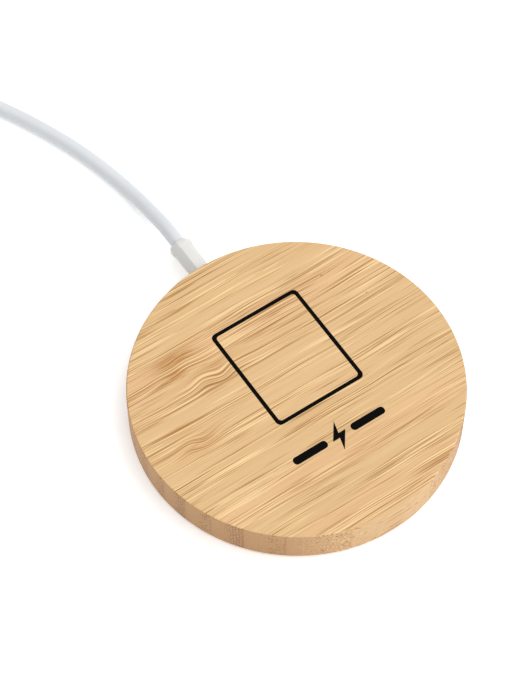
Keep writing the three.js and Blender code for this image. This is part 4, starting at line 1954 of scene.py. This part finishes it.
@dataclass
class BoardPart:
    """One part soldered under the board, as large as its CAD node."""

    node: str
    package: Package
    finish: Finish
    pads: int = 0
    cap: float = 0.16
    standoff: float = 0.26 * MM
    inset: float = 0.22 * MM
    coil_corner: float = 0.9 * MM
    skin: float = 0.06 * MM
    pad_thickness: float = 0.3 * MM
    pad_length: float = 0.6 * MM
    pad_share: float = 0.27
    coil_pad_length: float = 0.5 * MM
    coil_pad_share: float = 0.3
    margin: float = 0.5 * MM
    case_edge: float = 0.12 * MM
    block_edge: float = 0.15 * MM
    cap_edge: float = 0.18 * MM
    pad_edge: float = 0.05 * MM
    dot_radius: float = 0.35 * MM
    dot_depth: float = 0.08 * MM
    dot_inset: float = 1.1 * MM

    def build(self) -> list[bpy.types.Object]:
        """Makes the part's body and its terminals.

        Returns:
            The body and the terminals.
        """
        low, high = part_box(self.node)
        if self.package is Package.END_CAPPED:
            return self._end_capped(low, high)
        body = block(f"{self.node}_body", (low.x + self.inset, low.y + self.inset, low.z),
                     (high.x - self.inset, high.y - self.inset, high.z))
        if self.package is Package.SHIELDED_COIL:
            ease_edges(body, self.coil_corner, 3,
                       lambda ends: abs(ends[0].z - ends[1].z) > 0.1 * MM)
        bevel(body, self.case_edge, 2)
        if self.package is not Package.SHIELDED_COIL:
            cut_away(body, peg("dot", self.dot_radius, low.z - MM, low.z + self.dot_depth,
                               low.x + self.dot_inset, low.y + self.dot_inset, 20))
        clean(body)
        smooth(body)
        terminals = self._terminals(low, high)
        return [fit_out(body, self.finish, self.node), fit_out(terminals, Finish.TIN)]

    def _end_capped(self, low: Vector, high: Vector) -> list[bpy.types.Object]:
        """Makes a ceramic block and the plated caps over its two ends.

        Args:
            low: Lowest corner of the CAD node.
            high: Its highest corner.

        Returns:
            The block and the caps.
        """
        skin = Vector((self.skin, self.skin, self.skin))
        body = block(f"{self.node}_body", low + skin, high - skin)
        bevel(body, self.block_edge, 2)
        smooth(body)
        reach = (high.x - low.x) * self.cap
        caps = []
        for start, stop in ((low.x, low.x + reach), (high.x - reach, high.x)):
            cap = block("cap", (start, low.y, low.z), (stop, high.y, high.z + self.standoff))
            bevel(cap, self.cap_edge, 3)
            caps.append(cap)
        ends = gather(caps, f"{self.node}_ends")
        smooth(ends)
        return [fit_out(body, self.finish, self.node), fit_out(ends, Finish.TIN)]

    def _row(self, start: float, stop: float) -> list[tuple[float, float]]:
        """Places a row of pads along one side of the case.

        Args:
            start: Where the side starts.
            stop: Where it ends.

        Returns:
            Where each pad starts and ends.
        """
        step = (stop - start - 2 * self.margin) / self.pads
        middles = [start + self.margin + step * (k + 0.5) for k in range(self.pads)]
        return [(one - step * self.pad_share, one + step * self.pad_share) for one in middles]

    def _terminals(self, low: Vector, high: Vector) -> bpy.types.Object:
        """Makes the soldered pads that stand out beside the case.

        Args:
            low: Lowest corner of the CAD node.
            high: Its highest corner.

        Returns:
            The pads, as one piece.
        """
        bottom, top, length = high.z - self.pad_thickness, high.z + self.standoff, self.pad_length
        pads = []
        if self.package is Package.SHIELDED_COIL:
            length = self.coil_pad_length
            half = (high.y - low.y) * self.coil_pad_share
            centre = low.y + (high.y - low.y) / 2
            rows = [(centre - half, centre + half)]
        else:
            rows = self._row(low.y, high.y)
        for near, far in rows:
            for x in (low.x, high.x - length):
                pads.append(block("pad", (x, near, bottom), (x + length, far, top)))
        if self.package is Package.FLAT_CHIP:
            for near, far in self._row(low.x, high.x):
                for y in (low.y, high.y - length):
                    pads.append(block("pad", (near, y, bottom), (far, y + length, top)))
        terminals = gather(pads, f"{self.node}_pads")
        bevel(terminals, self.pad_edge, 1)
        smooth(terminals)
        return terminals


@dataclass
class Electronics:
    """What lies in the pocket: the coil, the parts on the board and the board's screws."""

    screw: Screw = Screw(3.6 * MM, 1.0 * MM, 2.0 * MM, 4.4 * MM)
    coil: WoundCoil = WoundCoil()

    def parts(self) -> list[BoardPart]:
        """Lists the parts under the board.

        Returns:
            The parts.
        """
        listed = [
            BoardPart("control_chip", Package.FLAT_CHIP, Finish.CHIP, 6),
            BoardPart("driver_chip_1", Package.GULL_CHIP, Finish.CHIP, 4),
            BoardPart("driver_chip_2", Package.GULL_CHIP, Finish.CHIP, 4),
            BoardPart("power_inductor", Package.SHIELDED_COIL, Finish.FERRITE),
            BoardPart("sense_resistor", Package.END_CAPPED, Finish.CHIP, cap=0.13),
        ]
        capacitors = [f"resonant_capacitor_{k}" for k in range(1, 5)]
        capacitors += [f"input_capacitor_{k}" for k in range(1, 3)]
        listed += [BoardPart(name, Package.END_CAPPED, Finish.CAPACITOR) for name in capacitors]
        return listed

    def build(self) -> list[bpy.types.Object]:
        """Makes the coil, the parts and the screws.

        Returns:
            The pieces.
        """
        made = [self.coil.build()]
        for part in self.parts():
            made += part.build()
        return made + self.screws()

    def screws(self) -> list[bpy.types.Object]:
        """Makes the four board screws, head up.

        Returns:
            The screws.
        """
        first = self.screw.build("board_screw_pattern", 0, 0, 0)
        first.data.transform(Matrix.Rotation(math.pi, 4, "X"))
        made = []
        for k in range(1, 5):
            node = f"board_screw_{k}"
            place, high = middle(node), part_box(node)[1].z
            copy = twin(first, f"board_screw_turned_{k}", (place.x, place.y, high), 31 * k)
            made.append(fit_out(copy, Finish.SCREW, node))
        bpy.data.objects.remove(first, do_unlink=True)
        return made


# ------------------------------------------------------------------ strain relief, tie and plug


@dataclass
class StrainRelief:
    """The moulded boot: a flange inside, a neck through the wall, an eight-sided grip outside."""

    axis: float = 6.3 * MM
    cable: float = 4.2 * MM
    neck_corner: float = 1.1 * MM
    neck_width: float = 5.2 * MM
    neck_height: float = 5.0 * MM
    flange_height: float = 6.2 * MM
    flange_depth: float = 2.0 * MM
    chamfer: float = 1.75 * MM
    root_wall: float = 0.7 * MM
    tip_wall: float = 0.8 * MM
    lip_wall: float = 1.0 * MM
    flatten: float = 0.3 * MM
    start: float = 45.3 * MM
    end: float = 57.3 * MM
    lip: float = 2.0 * MM
    flare: float = 0.7 * MM
    lip_ease: float = 0.5 * MM
    edge: float = 0.13 * MM
    flange_ease: float = 0.6 * MM
    flange_edge: float = 0.15 * MM
    socket_depth: float = 2.4 * MM
    socket_radius: float = 2.38 * MM

    def build(self) -> bpy.types.Object:
        """Moulds the relief.

        Returns:
            The relief.
        """
        boot = drawn_out(
            "strain_relief_moulded",
            (
                self._section(self.start, self.root_wall),
                self._section(self.end - self.lip - self.flare, self.tip_wall),
                self._section(self.end - self.lip, self.lip_wall),
                self._section(self.end - self.lip_ease, self.lip_wall),
                self._section(self.end, self.root_wall),
            ),
            0, self.axis, self.chamfer, 1,
        )
        bevel(boot, self.edge, 2, 9)
        low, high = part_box("strain_relief")
        flange_width = high.x - low.x
        inner = drawn_out(
            "flange",
            (
                Section(low.y, flange_width - MM, self.flange_height - MM),
                Section(low.y + self.flange_ease, flange_width, self.flange_height),
                Section(low.y + self.flange_depth, flange_width, self.flange_height),
            ),
            0, self.axis, self.neck_corner, 4,
        )
        bevel(inner, self.flange_edge, 2, 20)
        neck_low = (-self.neck_width / 2, low.y + 0.5 * MM, self.axis - self.neck_height / 2)
        neck_high = (self.neck_width / 2, self.start + 0.8 * MM, self.axis + self.neck_height / 2)
        add_on(boot, block("neck", neck_low, neck_high, self.neck_corner))
        add_on(boot, inner)
        cut_away(boot, self._socket())
        clean(boot)
        smooth(boot, 24)
        return fit_out(boot, Finish.MOULDING, "strain_relief")

    def _section(self, y: float, wall: float) -> Section:
        """Returns the boot's cross-section: the cable with a wall round it."""
        width = self.cable + 2 * wall
        return Section(y, width, width - self.flatten)

    def _socket(self) -> bpy.types.Object:
        """Makes the bar that cuts the cable's socket, laid along Y."""
        bar = peg("socket", self.socket_radius, 0, self.socket_depth + MM, 0, 0, 40)
        return lay_along_y(bar, 0, self.end - self.socket_depth, self.axis)


@dataclass
class CableTie:
    """The hook-and-loop strap round the wound cable, its free end pressed down outside."""

    coil_centre: tuple[float, float] = (-60 * MM, 137 * MM)
    angle: float = 80.0
    width: float = 9 * MM
    thickness: float = 0.8 * MM
    inner_wall: float = 16.198 * MM
    outer_wall: float = 33.6 * MM
    corner: float = 1.6 * MM
    flap: float = 9.0 * MM
    flap_from_end: float = 3.2 * MM
    flap_inset: float = 0.2 * MM
    flap_sink: float = 0.05 * MM
    edge: float = 0.22 * MM

    def build(self) -> bpy.types.Object:
        """Bends the strap into its loop.

        Returns:
            The strap.
        """
        low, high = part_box("cable_tie")
        across = (self.inner_wall + self.outer_wall) / 2
        wide = self.outer_wall - self.inner_wall + 2 * self.thickness
        strap = block("strap", (across - wide / 2, -self.width / 2, low.z),
                      (across + wide / 2, self.width / 2, high.z), self.corner)
        open_up(strap, lambda face: abs(face.normal.y) > 0.9)
        thicken(strap, self.thickness)
        end, half = across + wide / 2 - self.flap_from_end, self.width / 2 - self.flap_inset
        add_on(strap, block("flap", (end - self.flap, -half, high.z - self.flap_sink),
                            (end, half, high.z + self.thickness * 0.75)))
        bevel(strap, self.edge, 2, 40)
        turn = Matrix.Rotation(math.radians(self.angle), 4, "Z")
        strap.data.transform(Matrix.Translation((*self.coil_centre, 0)) @ turn)
        strap.name = "cable_tie_strap"
        strap.data.name = strap.name
        clean(strap)
        smooth(strap, 40)
        return fit_out(strap, Finish.STRAP, "cable_tie")


@dataclass
class Plug:
    """The USB-A plug: grip with a ribbed neck, metal shell with windows, tongue and contacts.

    The grip's taper lists how far before its back each section lies, and how much narrower and
    lower it is there, in millimetres.
    """

    axis_z: float = 4.2 * MM
    front: float = 76.7 * MM
    back: float = 97.7 * MM
    neck_end: float = 107.7 * MM
    corner: float = 1.7 * MM
    seat_width: float = 12.6 * MM
    seat_height: float = 5.1 * MM
    seat_depth: float = 6.8 * MM
    wall: float = 0.3 * MM
    window: float = 2.2 * MM
    window_from_mouth: float = 5.4 * MM
    window_off_centre: float = 2.9 * MM
    grip_height: float = 8 * MM
    nose: float = 0.5 * MM
    nose_ease: float = 0.8 * MM
    taper: tuple[Point, ...] = ((3.4, 0, 0), (1.3, 2.2, 0.2), (0.3, 5.5, 0.6), (0, 7.6, 1.2))
    neck_radii: tuple[float, float] = (3.7 * MM, 3.0 * MM)
    ribs: int = 5
    groove: float = 0.35 * MM

    def build(self) -> list[bpy.types.Object]:
        """Makes the plug's pieces.

        Returns:
            The pieces.
        """
        self.x = middle("plug_shell").x
        return [self.grip(), self.shell(), self.tongue(), *self.contacts()]

    def grip(self) -> bpy.types.Object:
        """Moulds the grip and the neck, and cuts the shell's seat.

        Returns:
            The grip.
        """
        low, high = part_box("plug_moulding")
        wide, tall = high.x - low.x, self.grip_height
        sections = [Section(self.front, wide - self.nose_ease, tall - self.nose_ease),
                    Section(self.front + self.nose, wide, tall)]
        sections += [Section(self.back - before * MM, wide - narrower * MM, tall - lower * MM)
                     for before, narrower, lower in self.taper]
        grip = drawn_out("plug_grip", sections, self.x, self.axis_z, self.corner, 6)
        bevel(grip, 0.3 * MM, 3, 15)
        add_on(grip, self._neck())
        side, half = self.seat_width / 2, self.seat_height / 2
        cut_away(grip, block("seat", (self.x - side, self.front - MM, self.axis_z - half),
                             (self.x + side, self.front + self.seat_depth, self.axis_z + half),
                             0.6 * MM))
        clean(grip)
        smooth(grip, 30)
        return fit_out(grip, Finish.MOULDING, "plug_moulding")

    def _neck(self) -> bpy.types.Object:
        """Turns the neck with its flexing grooves, and lays it along Y.

        Returns:
            The neck.
        """
        start, end = self.neck_radii
        length = self.neck_end - self.back
        corners = [Corner(start, -MM), Corner(start, 0.8 * MM)]
        pitch = (length - 2.2 * MM) / self.ribs
        for k in range(self.ribs):
            along = 0.9 * MM + pitch * k
            radius = start + (end - start) * (along + pitch / 2) / length
            inner = radius - self.groove
            corners += [
                Corner(inner, along + 0.05 * MM, 0.1 * MM),
                Corner(inner, along + pitch * 0.4, 0.1 * MM),
                Corner(radius, along + pitch * 0.42, 0.15 * MM),
                Corner(radius, along + pitch * 0.98, 0.15 * MM),
            ]
        corners += [Corner(end, length - MM, 0.1 * MM), Corner(end, length, 0.3 * MM),
                    Corner(end * 0.7, length)]
        neck = turned("neck", corners, 48, 0, 0, 3)
        return lay_along_y(neck, self.x, self.back, self.axis_z)

    def shell(self) -> bpy.types.Object:
        """Folds the metal shell and punches its windows.

        Returns:
            The shell.
        """
        low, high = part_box("plug_shell")
        shell = block("plug_shell_folded", low, high, 0.55 * MM)
        open_up(shell, lambda face: face.normal.y < -0.9)
        thicken(shell, self.wall)
        near, half = low.y + self.window_from_mouth, self.window / 2
        for x in (self.x - self.window_off_centre, self.x + self.window_off_centre):
            for bottom, top in ((low.z - MM, low.z + self.wall * 2),
                                (high.z - self.wall * 1.5, high.z + MM)):
                cut_away(shell, block("window", (x - half, near, bottom),
                                      (x + half, near + self.window, top)))
        clean(shell)
        bevel(shell, 0.05 * MM, 1, 50)
        smooth(shell, 30)
        return fit_out(shell, Finish.PLUG_SHELL, "plug_shell")

    def tongue(self) -> bpy.types.Object:
        """Moulds the tongue that carries the contacts.

        Returns:
            The tongue.
        """
        low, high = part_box("plug_tongue")
        tongue = block("plug_tongue_moulded", low, high)
        bevel(tongue, 0.2 * MM, 3)
        smooth(tongue)
        return fit_out(tongue, Finish.TONGUE, "plug_tongue")

    def contacts(self) -> list[bpy.types.Object]:
        """Stamps the four contacts, their tips tapered.

        Returns:
            The contacts.
        """
        made = []
        for k in range(1, 5):
            node = f"plug_contact_{k}"
            low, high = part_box(node)
            x, z = (low.x + high.x) / 2, (low.z + high.z) / 2
            wide, tall = high.x - low.x, high.z - low.z
            sections = [
                Section(low.y, wide * 0.7, tall * 0.5),
                Section(low.y + 0.5 * MM, wide, tall),
                Section(high.y, wide, tall),
            ]
            contact = drawn_out(f"{node}_stamped", sections, x, z, 0.08 * MM, 2)
            smooth(contact)
            made.append(fit_out(contact, Finish.CONTACT, node))
        return made


# ------------------------------------------------------------------ main


def carried_over() -> dict[str, Finish]:
    """The finish of each CAD node that keeps its shape.

    Returns:
        Finish by node name.
    """
    return {
        "foam_ring": Finish.FOAM,
        "coil_lead_inner": Finish.LITZ,
        "coil_lead_outer": Finish.LITZ,
        "ferrite_shield": Finish.FERRITE,
        "circuit_board": Finish.BOARD,
        "wire_red": Finish.WIRE_RED,
        "wire_white": Finish.WIRE_WHITE,
        "wire_green": Finish.WIRE_GREEN,
        "wire_black": Finish.WIRE_BLACK,
    }


def main() -> None:
    """Builds the pad's looks round its frame, piece by piece."""
    logging.basicConfig(level=logging.INFO, format="%(name)s: %(message)s")
    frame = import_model()
    Viewpoint().build()
    cable_sizes = Cable()
    cable = cable_sizes.build()
    on_cable = [StrainRelief().build(), CableTie().build(), *Plug().build()]
    for name, finish in carried_over().items():
        dress(frame["nodes"][name], finish.material())
        log.info("dressed %s, finish %s", name, finish.slot())
    BambooBody().build()
    PrintedMark().build()
    Underside().build()
    Electronics().build()
    Studio().build()


if __name__ == "__main__":
    main()
